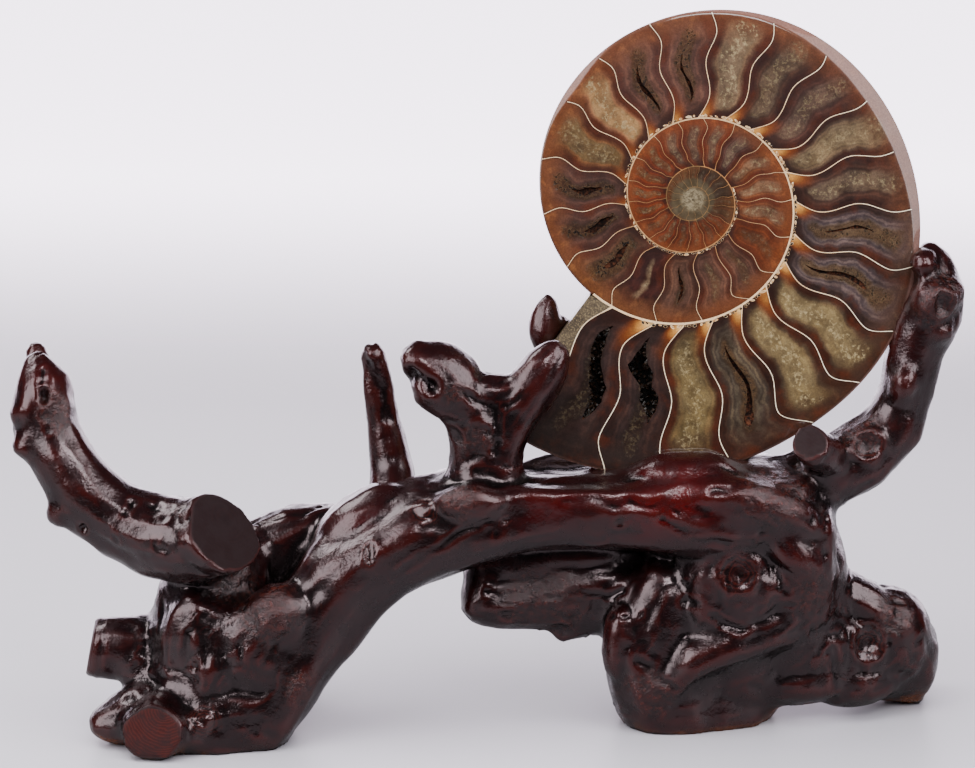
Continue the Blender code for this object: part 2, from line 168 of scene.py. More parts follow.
def streaks(points, grain, size, length, seed=0.0, samples=13):
    """Random streaks that run along the grain, of a width and a length in metres."""
    total = np.zeros(len(points))
    for step in np.linspace(-0.5, 0.5, samples):
        total += field(points + grain * (step * length), size, seed)
    return total / samples * math.sqrt(min(samples, length / size))


joined = bmesh.new()
sawn_points = []
sawn_faces = []
sawn_middles = []
for node in STAND_NODES:
    limb = bmesh.new()
    limb.from_mesh(bpy.data.objects[node].data)
    bmesh.ops.remove_doubles(limb, verts=limb.verts, dist=SAME_POINT)
    bmesh.ops.triangulate(limb, faces=limb.faces)
    limb.normal_update()
    # A sawn face is a large flat one. Those that look straight back or right weren't sawn.
    planes = {}
    for face in limb.faces:
        level = face.normal.dot(face.calc_center_median())
        plane = (*(round(part, 2) for part in face.normal), round(level, 4))
        planes.setdefault(plane, []).append(face)
    for (across, away, _, _), group in planes.items():
        area = sum(face.calc_area() for face in group)
        back_or_right = abs(across) < 0.02 and away > 0.9 or across > 0.9
        if back_or_right or len(group) < SAWN_FACE_TRIANGLES or area < SAWN_FACE_AREA:
            continue
        middle = sum((face.calc_center_median() * face.calc_area() for face in group), Vector()) / area
        for face in group:
            start = len(sawn_points)
            sawn_points.extend(vert.co.copy() for vert in face.verts)
            sawn_faces.append((start, start + 1, start + 2))
            sawn_middles.append(middle + HEARTWOOD_OFFSET)
    for vert in limb.verts:
        vert.co += vert.normal * LIMB_OVERLAP
    grown = bpy.data.meshes.new(node + "_grown")
    limb.to_mesh(grown)
    limb.free()
    joined.from_mesh(grown)

# Burls and healed forks that swell the root where its limbs meet. Each is given by a
# limb, its place in that limb's box, its three radii in millimetres and its slant in
# degrees, seen from the front.
BURLS = (
    ("right_body", (0.79, 0.26, 0.76), (9, 10, 22), 8),
    ("right_body", (0.76, 0.52, 0.36), (20, 15, 17), 0),
    ("right_body", (0.72, 0.48, 0.19), (21, 13, 8.5), 0),
    ("right_body", (0.45, 0.2, 0.62), (15, 8, 10), -25),
    ("left_leg", (0.52, 0.27, 0.42), (18, 13, 21), -22),
    ("left_leg", (0.42, 0.24, 0.15), (21, 15, 13), 0),
    ("left_leg", (0.33, 0.2, 0.33), (10, 9, 13), 15),
    ("left_leg", (0.2, 0.34, 0.45), (10, 9, 17), 0),
    ("left_leg", (0.62, 0.22, 0.62), (12, 10, 12), -30),
    ("left_foot", (0.98, 0.36, 0.3), (13, 11, 8.5), 10),
    ("left_foot", (0.3, 0.5, 0.3), (11, 9, 7), 0),
    ("left_stub", (0.85, 0.3, 0.25), (10, 9, 13), -20),
    ("left_arm", (0.05, 0.66, 0.74), (4.2, 6, 5.5), 10),
    ("left_arm", (0.06, 0.62, 0.6), (4, 6, 5), 0),
    ("left_arm", (0.22, 0.5, 0.33), (4.5, 5, 7), 35),
    ("right_foot", (0.08, 0.2, 0.52), (6.5, 8, 15), 6),
    ("right_foot", (0.55, 0.2, 0.3), (12, 7, 9), 30),
    ("trunk", (0.89, 0.46, 0.86), (17, 13, 8), 0),
    ("trunk", (0.245, 0.45, 0.74), (20, 14, 12), -35),
    ("trunk", (0.42, 0.22, 0.86), (13, 6, 6), 0),
    ("right_arm", (0.62, 0.4, 0.36), (5, 6, 7), 20),
    ("right_arm", (0.8, 0.4, 0.8), (7, 7, 9), 10),
    ("right_block", (0.9, 0.4, 0.36), (7, 13, 14), 0),
    ("right_block", (0.44, 0.2, 0.42), (21, 15, 18), 18),
    ("right_block", (0.7, 0.26, 0.56), (15, 15, 19), -14),
    ("right_block", (0.48, 0.08, 0.24), (15, 11, 9), 0),
    ("right_body", (0.69, 0.27, 0.68), (9, 9, 15), 0),
    ("fork_left_prong", (0.88, 0.52, 0.58), (9, 8, 9.5), 0),
    ("fork_left_prong", (0.44, 0.52, 0.85), (13, 8, 5.5), 27),
    ("fork_right_prong", (0.42, 0.48, 0.68), (6, 8, 11), 38),
    ("left_leg", (0.27, 0.27, 0.45), (15, 10, 21), 0),
    ("right_arm", (0.76, 0.5, 0.93), (5.5, 7, 5), 0),
    ("right_arm", (0.91, 0.5, 0.82), (5.5, 7.5, 6), 0),
    ("right_arm", (0.87, 0.45, 0.68), (5, 7, 4.5), 0),
    ("right_arm", (0.67, 0.35, 0.48), (6, 7, 8), 15),
    ("right_block", (0.54, 0.18, 0.835), (24, 11, 7.5), 31),
    ("right_body", (0.7, 0.14, 0.84), (15, 7, 6), 38),
    ("left_foot", (0.4, 0.52, 0.5), (13, 9, 7), -28),
    ("lower_root", (0.1, 0.39, 0.64), (6.9, 10, 11), 0),
    ("lower_root", (0.27, 0.42, 0.9), (26, 11, 7.5), -12),
    ("lower_root", (0.5, 0.42, 1.0), (20, 10, 6.5), -4),
)
for node, shares, radii, slant in BURLS:
    corner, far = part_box(node)
    middle = Vector([low + (high - low) * share for low, high, share in zip(corner, far, shares)])
    turned = Matrix.Translation(middle) @ Matrix.Rotation(math.radians(slant), 4, "Y")
    sized = turned @ Matrix.Diagonal((*(radius / 1000.0 for radius in radii), 1.0))
    bmesh.ops.create_icosphere(joined, subdivisions=3, radius=1.0, matrix=sized)

wood = bpy.data.meshes.new("root_stand")
joined.to_mesh(wood)
joined.free()
stand = in_scene("root_stand", wood)
bpy.context.view_layer.objects.active = stand
stand.select_set(True)
wood.remesh_voxel_size = WOOD_CELL
bpy.ops.object.voxel_remesh()

edges = np.zeros(len(wood.edges) * 2, np.int32)
wood.edges.foreach_get("vertices", edges)
edges = edges.reshape(-1, 2)

# Where the limbs were sawn, a point keeps to the saw's plane.
sawn = BVHTree.FromPolygons(sawn_points, sawn_faces)
rough_skin = point_array(wood)
rough_normals = point_array(wood, "normal")
cut = np.zeros(len(rough_skin))
ring = np.zeros(len(rough_skin))
saw_plane = rough_skin.copy()
saw_way = np.zeros_like(rough_skin)
for index, (point, normal) in enumerate(zip(rough_skin, rough_normals)):
    spot, way, face, _ = sawn.find_nearest(Vector(point), SAW_REACH)
    if spot is None:
        continue
    offset = Vector(point) - spot
    above = offset.dot(way)
    aside = (offset - way * above).length
    if abs(above) < SAW_DEPTH and aside < SAW_ASIDE and abs(way.dot(Vector(normal))) > SAW_TURN:
        cut[index] = 1.0
        ring[index] = (Vector(point) - sawn_middles[face]).length * 1000.0
        saw_way[index] = way
        saw_plane[index] = Vector(point) - way * above
skin = evened(rough_skin, edges, FORK_ROUNDING)
set_points(wood, skin)
normals = point_array(wood, "normal")
skin = skin + normals * ROUNDING_LOSS
on_plane = skin - saw_way * np.sum((skin - saw_plane) * saw_way, axis=1)[:, None]
cut = smooth(0.2, 0.8, evened(cut[:, None], edges, 5)[:, 0])
skin = skin + (on_plane - skin) * np.where(np.any(saw_way != 0.0, axis=1), cut, 0.0)[:, None]

# The grain runs the way the skin bends least.
pairs = ((0, 0), (0, 1), (0, 2), (1, 1), (1, 2), (2, 2))
bends = np.stack([normals[:, a] * normals[:, b] for a, b in pairs], axis=-1)
bends = evened(bends, edges, GRAIN_SPREAD)
square = np.zeros((len(skin), 3, 3))
for part, (a, b) in enumerate(pairs):
    square[:, a, b] = square[:, b, a] = bends[:, part]
grain = np.linalg.eigh(square)[1][:, :, 0]
grain = grain - normals * np.sum(grain * normals, axis=1)[:, None]
grain = grain / (np.linalg.norm(grain, axis=1)[:, None] + 1e-6)

# Swells, flutes and fine ridges of the root under its bark. They die away on the sawn
# faces and where the stand touches the table.
swell = 1.5 * field(skin, 0.021, 1) + 0.55 * field(skin, 0.011, 2) + 0.2 * field(skin, 0.0055, 3)
flute = streaks(skin, grain, 0.0062, 0.045, 4)
ridge = streaks(skin, grain, 0.0026, 0.02, 5)
hair = streaks(skin, grain, 0.0014, 0.012, 6)
rough = smooth(-0.2, 0.5, field(skin, 0.03, 7))
relief = swell + 0.45 * flute + (0.16 + 0.2 * rough) * ridge + (0.06 + 0.12 * rough) * hair
furrow = smooth(0.55, 1.1, np.abs(streaks(skin, grain, 0.0045, 0.05, 8)))
relief = relief - 0.9 * furrow * rough
keep = (1.0 - cut) * smooth(0.001, 0.008, skin[:, 2])
skin = skin + normals * (relief * keep / 1000.0)[:, None]

# Round scars where twigs were cut away: a rolled lip, rings inside it and a sunken heart.
# Each is given by its limb, its place across and up that limb's box, its radius, its
# oval, the depth of its heart and the height of its lip, in millimetres.
KNOTS = (
    ("left_arm", 0.15, 0.82, 2.5, 1.7, 3, 0.3),
    ("left_arm", 0.3, 0.25, 2.2, 1.2, 2, 0.5),
    ("trunk", 0.348, 0.837, 4.9, 1, -0.9, 0.3),
    ("trunk", 0.651, 0.791, 2.6, 1.1, 0.4, 0.6),
    ("trunk", 0.261, 0.69, 2.6, 1.9, 0.6, 0.7),
    ("trunk", 0.471, 0.798, 1.6, 1, 0.8, 0.4),
    ("right_body", 0.404, 0.759, 7.2, 0.95, 0.2, 0.9),
    ("right_arm", 0.472, 0.262, 5.8, 0.95, 1.6, 1.3),
    ("right_arm", 0.85, 0.79, 4.6, 1.3, 1.8, 1.4),
    ("right_block", 0.53, 0.58, 6.4, 1.1, 0.8, 1.1),
    ("left_leg", 0.26, 0.4, 2.6, 1, 0.5, 0.6),
    ("left_leg", 0.3, 0.16, 5.6, 0.9, -1.6, 0.3),
    ("fork_left_prong", 0.84, 0.229, 1.3, 1.3, -1.2, 0.2),
)

# Creases, each from one place on a limb to another, with its width and depth.
CREASES = (
    ("fork_left_prong", 0.12, 0.76, 0.28, 0.72, 2.2, 2.6),
    ("fork_left_prong", 0.26, 0.7, 0.66, 0.62, 1.5, 1.1),
    ("fork_left_prong", 0.72, 0.45, 0.92, 0.3, 1.2, 0.9),
    ("left_arm", 0.13, 0.93, 0.17, 0.7, 1.3, 1.2),
    ("left_arm", 0.44, 0.22, 0.5, 0.36, 1.1, 1),
    ("left_arm", 0.6, 0.2, 0.63, 0.33, 1.1, 0.8),
    ("trunk", 0.3, 0.62, 0.44, 0.8, 1.4, 0.8),
    ("trunk", 0.56, 0.87, 0.74, 0.84, 2, 0.5),
    ("trunk", 0.72, 0.8, 0.82, 0.7, 1.8, 0.9),
    ("trunk", 0.8, 0.9, 0.95, 0.8, 1.6, 0.7),
    ("trunk", 0.46, 0.74, 0.62, 0.73, 1.2, 0.7),
    ("right_body", 0.16, 0.62, 0.42, 0.5, 1.8, 1.3),
    ("right_body", 0.62, 0.72, 0.8, 0.46, 1.4, 1),
    ("right_foot", 0.2, 0.45, 0.42, 0.3, 1.5, 0.8),
    ("right_block", 0.34, 0.82, 0.6, 0.66, 1.3, 1),
    ("right_block", 0.3, 0.55, 0.36, 0.2, 1.5, 1),
    ("right_block", 0.72, 0.8, 0.78, 0.3, 1.6, 1),
    ("lower_root", 0.1, 0.62, 0.62, 0.66, 1.3, 1),
    ("lower_root", 0.16, 0.4, 0.7, 0.46, 1.2, 0.9),
)

# Where the bark was torn and never scraped smooth: limb, place and radius.
ROUGH_PLACES = (
    ("trunk", 0.9, 0.9, 17),
    ("trunk", 0.4, 0.88, 10),
    ("trunk", 0.1, 0.5, 14),
    ("left_leg", 0.45, 0.74, 11),
    ("left_leg", 0.72, 0.3, 7),
    ("left_arm", 0.2, 0.75, 9),
    ("fork_left_prong", 0.7, 0.35, 7),
    ("fork_left_prong", 0.5, 0.66, 5),
    ("right_arm", 0.86, 0.8, 13),
    ("right_arm", 0.4, 0.3, 10),
    ("right_block", 0.72, 0.76, 10),
    ("lower_root", 0.3, 0.5, 18),
    ("right_foot", 0.25, 0.25, 10),
    ("right_body", 0.8, 0.65, 9),
)

# Where the stain took reddest: limb, place, radius and strength.
RED_PLACES = (
    ("trunk", 0.72, 0.9, 34, 1),
    ("trunk", 0.55, 0.86, 22, 0.8),
    ("trunk", 0.25, 0.78, 15, 0.7),
    ("left_arm", 0.16, 0.92, 13, 0.9),
    ("fork_right_prong", 0.7, 0.75, 9, 0.5),
    ("right_arm", 0.3, 0.16, 9, 0.6),
    ("right_arm", 0.62, 0.62, 8, 0.5),
    ("right_body", 0.72, 0.8, 14, 0.7),
    ("right_body", 0.3, 0.85, 18, 0.8),
    ("lower_root", 0.35, 0.8, 14, 0.5),
)


def front_spot(node, across, up):
    """Where the front of the stand is, and which way it faces, at shares of a limb's box."""
    corner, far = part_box(node)
    x = corner.x + (far.x - corner.x) * across
    z = corner.z + (far.z - corner.z) * up
    return stand_tree.ray_cast(Vector((x, IN_FRONT, z)), Vector((0.0, 1.0, 0.0)))[:2]


def spread(place, radius):
    """1 at a place on the skin, falling to 0 a radius or so away."""
    return np.exp(-np.sum((skin - np.array(place)) ** 2, axis=1) / (radius / 1000.0) ** 2)


set_points(wood, skin)
quads = [tuple(face.vertices) for face in wood.polygons]
stand_tree = BVHTree.FromPolygons([Vector(p) for p in skin], quads)
knot = np.zeros(len(skin))
knot_ring = np.zeros(len(skin))
for node, across, up, radius, oval, depth, lip_height in KNOTS:
    spot, way = front_spot(node, across, up)
    side = Vector((0.0, 0.0, 1.0)).cross(way).normalized()
    rise = way.cross(side)
    offset = (skin - np.array(spot)) * 1000.0
    u = offset @ np.array(side)
    v = offset @ np.array(rise) / oval
    wobble = 1.0 + 0.16 * field(skin, 0.004, 9)
    far = np.sqrt(u * u + v * v) * wobble / radius
    near = smooth(1.6, 1.2, np.abs(offset @ np.array(way)) / radius)
    lip = lip_height * np.exp(-((far - 1.0) / 0.24) ** 2)
    heart = -depth * smooth(0.95, 0.2, far)
    rings = 0.12 * np.cos(far * 13.0 + 2.5 * field(skin, 0.003, 12)) * smooth(1.05, 0.8, far)
    broken = 0.55 * field(skin, 0.0024, 13) * smooth(1.4, 0.8, far)
    amount = (lip + heart + rings + broken) * near
    skin = skin + np.array(way) * (amount / 1000.0)[:, None]
    knot = np.maximum(knot, smooth(1.25, 0.9, far) * near)
    knot_ring = np.where((far < 1.3) & (near > 0.1), far, knot_ring)
for node, across, up, across_end, up_end, width, depth in CREASES:
    begin = np.array(front_spot(node, across, up)[0])
    run = np.array(front_spot(node, across_end, up_end)[0]) - begin
    along = np.clip((skin - begin) @ run / np.sum(run ** 2), 0.0, 1.0)
    wander = 0.0022 * np.stack([field(skin, 0.006, seed) for seed in (14, 15, 16)], axis=-1)
    aside = np.linalg.norm(skin + wander - begin - along[:, None] * run, axis=1) * 1000.0
    groove = np.exp(-(aside / width) ** 2) - 0.35 * np.exp(-((aside - 1.9 * width) / width) ** 2)
    skin = skin - normals * (depth * groove / 1000.0)[:, None]
torn = np.zeros(len(skin))
for node, across, up, radius in ROUGH_PLACES:
    torn = np.maximum(torn, spread(front_spot(node, across, up)[0], radius))
torn = smooth(0.25, 0.75, torn + 0.22 * field(skin, 0.006, 17)) * (1.0 - cut)
fibres = 0.24 * streaks(skin, grain, 0.0018, 0.007, 18) + 0.35 * field(skin, 0.0034, 19)
skin = skin + normals * (torn * fibres * smooth(0.001, 0.006, skin[:, 2]) / 1000.0)[:, None]
red = np.zeros(len(skin))
for node, across, up, radius, strength in RED_PLACES:
    red = np.maximum(red, strength * spread(front_spot(node, across, up)[0], radius))

# The limbs give way to the fossil that rests in them, and end flat on the table.
fossil_skin = bmesh.new()
fossil_skin.from_mesh(bpy.data.objects["ammonite_half"].data)
fossil_tree = BVHTree.FromBMesh(fossil_skin)
fossil_skin.free()
fossil_low, fossil_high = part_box("ammonite_half")
beside = np.all((skin > np.array(fossil_low) - FOSSIL_REACH)
                & (skin < np.array(fossil_high) + FOSSIL_REACH), axis=1)
for index in np.nonzero(beside)[0]:
    spot, way, _, _ = fossil_tree.find_nearest(Vector(skin[index]))
    gap = (Vector(skin[index]) - spot).dot(way)
    if gap < FOSSIL_CLEARANCE:
        skin[index] = spot + way * FOSSIL_CLEARANCE
skin[:, 2] = np.where(skin[:, 2] < TABLE_CONTACT, 0.0, skin[:, 2])
set_points(wood, skin)
wood.shade_smooth()

# What the stain and the lacquer did: they lie thick in hollows and thin on ridges. The
# hollows and the way each point faces also steer painted shade.
normals = point_array(wood, "normal")
bulge, wide_bulge = (np.sum((skin - evened(skin, edges, rounds, 0.9)) * normals, axis=1) * 1000.0
                     for rounds in (3, 24))
raw = smooth(BARE_WOOD_TOP, 0.003, skin[:, 2]) * smooth(-0.25, -0.75, normals[:, 2])
store(wood, "wear_and_shade", np.stack([smooth(-0.25, 0.25, bulge), smooth(-1.2, 1.2, wide_bulge),
                              0.5 + 0.35 * ridge, red], axis=-1))
store(wood, "sawn", np.stack([cut, ring / 30.0, knot, knot_ring], axis=-1))
store(wood, "bark", np.stack([torn, 0.5 + 0.5 * normals[:, 2], raw], axis=-1))


class Number:
    """A number that a material works out for each point of a surface."""

    def __init__(self, shader, socket):
        self.shader = shader
        self.socket = socket

    def __add__(self, other):
        return self.shader.maths("ADD", self, other)

    def __sub__(self, other):
        return self.shader.maths("SUBTRACT", self, other)

    def __rsub__(self, other):
        return self.shader.maths("SUBTRACT", other, self)

    def __mul__(self, other):
        return self.shader.maths("MULTIPLY", self, other)

    __radd__ = __add__
    __rmul__ = __mul__

    def rise(self, low, high, top=1.0, bottom=0.0):
        """An even step from bottom to top while the number goes from low to high."""
        return self.shader.number("MapRange", self, low, high, bottom, top,
                                  interpolation_type="SMOOTHSTEP")


class Shader:
    """Writes a material's nodes in plain steps; base is its colour so far."""

    def __init__(self, name):
        self.material = bpy.data.materials.new(name)
        self.material.use_nodes = True
        self.tree = self.material.node_tree
        self.place = self.node("TexCoord").outputs["Object"]

    def feed(self, socket, value):
        if isinstance(value, Number):
            value = value.socket
        if isinstance(value, bpy.types.NodeSocket):
            self.tree.links.new(value, socket)
        elif isinstance(value, tuple) and len(value) == 3 and socket.type == "RGBA":
            socket.default_value = (*value, 1.0)
        else:
            socket.default_value = value

    def node(self, kind, *values, **named):
        """Values feed a new node's first inputs; a name with a capital is an input too."""
        node = self.tree.nodes.new("ShaderNode" + kind)
        for name, value in named.items():
            if name[0].isupper():
                self.feed(node.inputs[name], value)
            else:
                setattr(node, name, value)
        for socket, value in zip(node.inputs, values):
            self.feed(socket, value)
        return node

    def number(self, kind, *values, **named):
        return Number(self, self.node(kind, *values, **named).outputs[0])

    def maths(self, kind, *values):
        return self.number("Math", *values, operation=kind)

    def mix(self, share, first, second, kind="MIX"):
        node = self.node("Mix", data_type="RGBA", blend_type=kind, clamp_factor=True)
        for index, value in ((0, share), (6, first), (7, second)):
            self.feed(node.inputs[index], value)
        return node.outputs[2]

    def coat(self, share, colour):
        """Lays a colour over the base, as thick as share says."""
        self.base = self.mix(share, self.base, colour)

    def tint(self, share, factors):
        """Multiplies the base by a colour, as far as share says."""
        self.coat(share, self.mix(1.0, self.base, factors, "MULTIPLY"))

    def kept(self, name, output="Fac"):
        """A number or a colour that the mesh keeps for each point."""
        socket = self.node("Attribute", attribute_name=name).outputs[output]
        return Number(self, socket) if output == "Fac" else socket

    def kept_four(self, name):
        """Four numbers that the mesh keeps for each point as a colour."""
        read = self.node("Attribute", attribute_name=name)
        parts = self.node("SeparateColor", read.outputs["Color"])
        return [Number(self, socket) for socket in (*parts.outputs, read.outputs["Alpha"])]

    def grit(self, size, detail=3.0, roughness=0.55, warp=0.0):
        """Random cloud, 0 to 1, of a size in metres."""
        return self.number("TexNoise", Vector=self.place, Scale=1.0 / size, Detail=detail,
                           Roughness=roughness, Distortion=warp)

    def bump(self, height, distance, strength=1.0):
        return self.node("Bump", Height=height, Distance=distance, Strength=strength).outputs[0]

    def finish(self, **sockets):
        for name, value in {"Base_Color": self.base, **sockets}.items():
            self.feed(self.tree.nodes["Principled BSDF"].inputs[name.replace("_", " ")], value)
        return self.material


def paint(red, green, blue):
    """A colour as an artist's 0 to 255 numbers, made linear for the shaders."""
    return tuple(((part / 255.0 + 0.055) / 1.055) ** 2.4 for part in (red, green, blue))


def lacquered_wood():
    """Dark stain under thick brushed lacquer, orange-peel and dust in its gloss, painted shade in its
    hollows.
    """
    look = Shader("lacquered_root_wood")
    fine_bulge, broad_bulge, grain_line, red = look.kept_four("wear_and_shade")
    cut_face, cut_ring, knot_face, knot_rings = look.kept_four("sawn")
    torn, upward, raw, _ = look.kept_four("bark")
    clouds = look.grit(0.028)
    mottle = look.grit(0.006, 4.0, 0.6)
    speck = look.grit(0.0011, 2.0, 0.6)
    reddish = red + 0.7 * clouds + 0.6 * mottle - 0.72
    look.base = look.mix(clouds.rise(0.36, 0.64), paint(12, 4, 5), paint(26, 7, 8))
    look.coat(reddish.rise(0.05, 0.8), paint(45, 4, 5))
    look.coat(reddish.rise(0.55, 1.1), paint(84, 8, 7))
    look.coat(grain_line.rise(0.4, 0.85, 0.35), paint(34, 9, 8))
    look.coat(mottle.rise(0.42, 0.62, 0.6), paint(9, 4, 5))
    look.coat(broad_bulge.rise(0.62, 1.0, 0.4), paint(42, 9, 8))
    look.coat(fine_bulge.rise(0.6, 0.95, 0.3), paint(70, 20, 15))
    look.coat(speck.rise(0.6, 0.75, 0.25), paint(74, 30, 20))
    # Painted shade: darker where the wood faces down, and darker again on tops that face up.
    look.coat(upward.rise(0.42, 0.1, 0.6), paint(11, 4, 6))
    look.coat(upward.rise(0.66, 0.92, 0.75), paint(17, 3, 4))
    # Painted shade: broad and fine hollows go nearly black, over the lacquer that lies thick in them.
    look.coat(broad_bulge.rise(0.45, 0.1, 0.9), paint(5, 2, 3))
    look.coat(fine_bulge.rise(0.42, 0.05, 0.85), paint(4, 2, 2))
    shred = look.grit(0.0016, 3.0, 0.6).rise(0.45, 0.65)
    look.coat(0.35 * torn, look.mix(shred, paint(8, 4, 4), paint(84, 34, 22)))
    rings = look.maths("SINE", 170.0 * cut_ring + 16.0 * mottle)
    sawn_top = look.mix(rings.rise(-0.6, 1.0, 0.6), paint(15, 5, 6), paint(25, 9, 8))
    sawn_side = look.mix(rings.rise(-0.6, 1.0, 0.7, 0.1), paint(44, 14, 11), paint(70, 23, 16))
    # Painted shade: a sawn face that looks up is darker than one that looks aside.
    sawn_wood = look.mix(upward.rise(0.76, 0.68), sawn_top, sawn_side)
    sawn_wood = look.mix(mottle.rise(0.35, 0.6, 0.0, 0.7), sawn_wood, paint(16, 7, 7))
    look.coat(cut_face.rise(0.4, 0.9), sawn_wood)
    coils = look.maths("SINE", 24.0 * knot_rings + 30.0 * mottle)
    scar = look.mix(coils.rise(-0.3, 1.1), paint(14, 6, 6), paint(66, 23, 17))
    scar = look.mix(knot_rings.rise(0.5, 0.1), scar, paint(10, 5, 4))
    look.coat(0.55 * knot_face, scar)
    bare = raw * clouds.rise(0.46, 0.56)
    look.coat(bare, look.mix(mottle.rise(0.35, 0.65), paint(80, 40, 24), paint(132, 74, 38)))
    height = 0.6 * look.grit(0.0026) + 0.42 * look.grit(0.001, 2.0, 0.6)
    height = height * look.grit(0.02, 2.0).rise(0.35, 0.65, 1.0, 0.35)
    height = height + 1.3 * torn * look.grit(0.0015, 4.0, 0.7)
    relief = look.bump(height * cut_face.rise(0.0, 0.6, 0.3, 1.0), 0.00036)
    gloss = mottle.rise(0.3, 0.8, 0.34, 0.18) + 0.6 * cut_face
    lacquer = bare.rise(0.0, 0.6, 0.0, 0.35) - 0.3 * cut_face
    return look.finish(Roughness=gloss, Normal=relief, Specular_IOR_Level=0.55,
                       Specular_Tint=(1.0, 0.72, 0.78, 1.0), Coat_Weight=lacquer,
                       Coat_Roughness=0.13, Coat_IOR=1.5, Coat_Normal=relief)


wood.materials.clear()
wood.materials.append(lacquered_wood())
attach(stand, "root")
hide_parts(*STAND_NODES)


# ------------------------------------------------------------ the sawn ammonite
# A coiled shell whose chambers filled with calcite long after the animal died. It was
# sawn along its middle, ground flat and polished; a bevel runs round the edge. It leans
# back in the right-hand seat, and nothing fixes it there.

LEAN = math.radians(10.0)
OUTER_RADIUS = 81.3
SPIRAL_RATE = 0.1237
SPIRAL_RATE_CHANGE = 0.00082
OUTLINE_FLATS = ((-65.0, 1.3, 18.0), (58.0, -1.1, 36.0))
MOUTH_TIP = (-131.8, 101.4)       # angle and radius of the broken mouth's lower corner
MOUTH_ROOT = (-137.2, 50.3)       # and of its corner at the whorl inside
OUTLINE_END = 222.8               # where the outline meets that corner
LIP_ROUNDING = 6.2
LIP_ROUNDING_SPAN = 9.1
FLANK_THICKNESS = 0.24
FLANK_CREST = 0.55
UMBILICAL_SEAM = 0.36
UMBILICAL_THICKNESS = 0.081
UMBILICAL_WALL = 0.12
WHORLS_BEHIND = 4                 # as many whorls show on the unsawn outside
RIBS_IN_A_TURN = 15.0
RIB_HEIGHT = 0.004                # as a share of the radius
RIB_SWEEP = 200.0                 # how far a rib lags at the rim, in degrees of its wave
EDGE_DEPTH = 0.9
HEART_RADIUS = 3.6
CENTRE_FROM_RIGHT = 0.0815        # of the spiral, from the sides of the fossil's box
CENTRE_FROM_TOP = 0.0668
CENTRE_FROM_FRONT = 0.0172


def venter(angle):
    """Radius of the spiral's outer edge, in millimetres; the angle grows inward."""
    turn = np.radians(angle)
    radius = OUTER_RADIUS * np.exp(-SPIRAL_RATE * turn - SPIRAL_RATE_CHANGE * turn * turn)
    for middle, inward, span in OUTLINE_FLATS:
        radius = radius - inward * np.exp(-((angle - middle) / span) ** 2)
    past_lip = np.clip((MOUTH_TIP[0] + LIP_ROUNDING_SPAN - angle) / LIP_ROUNDING_SPAN, 0.0, 1.6)
    return radius - LIP_ROUNDING * past_lip ** 2


def bevel_width(angle):
    """The polished bevel, in millimetres: narrow, but broad where it was ground hardest."""
    broad = 5.2 * np.exp(-((angle - 26.0) / 40.0) ** 2)
    nick = 2.2 * np.exp(-((angle - 136.0) / 12.0) ** 2)
    return 0.8 + broad + nick


def bevel_drop(angle, radius, rim):
    """How far behind the sawn face the bevel lies at a radius, in millimetres."""
    width = bevel_width(angle)
    return 0.38 * width * np.clip((radius - rim + width) / width, 0.0, 1.0) ** 1.25


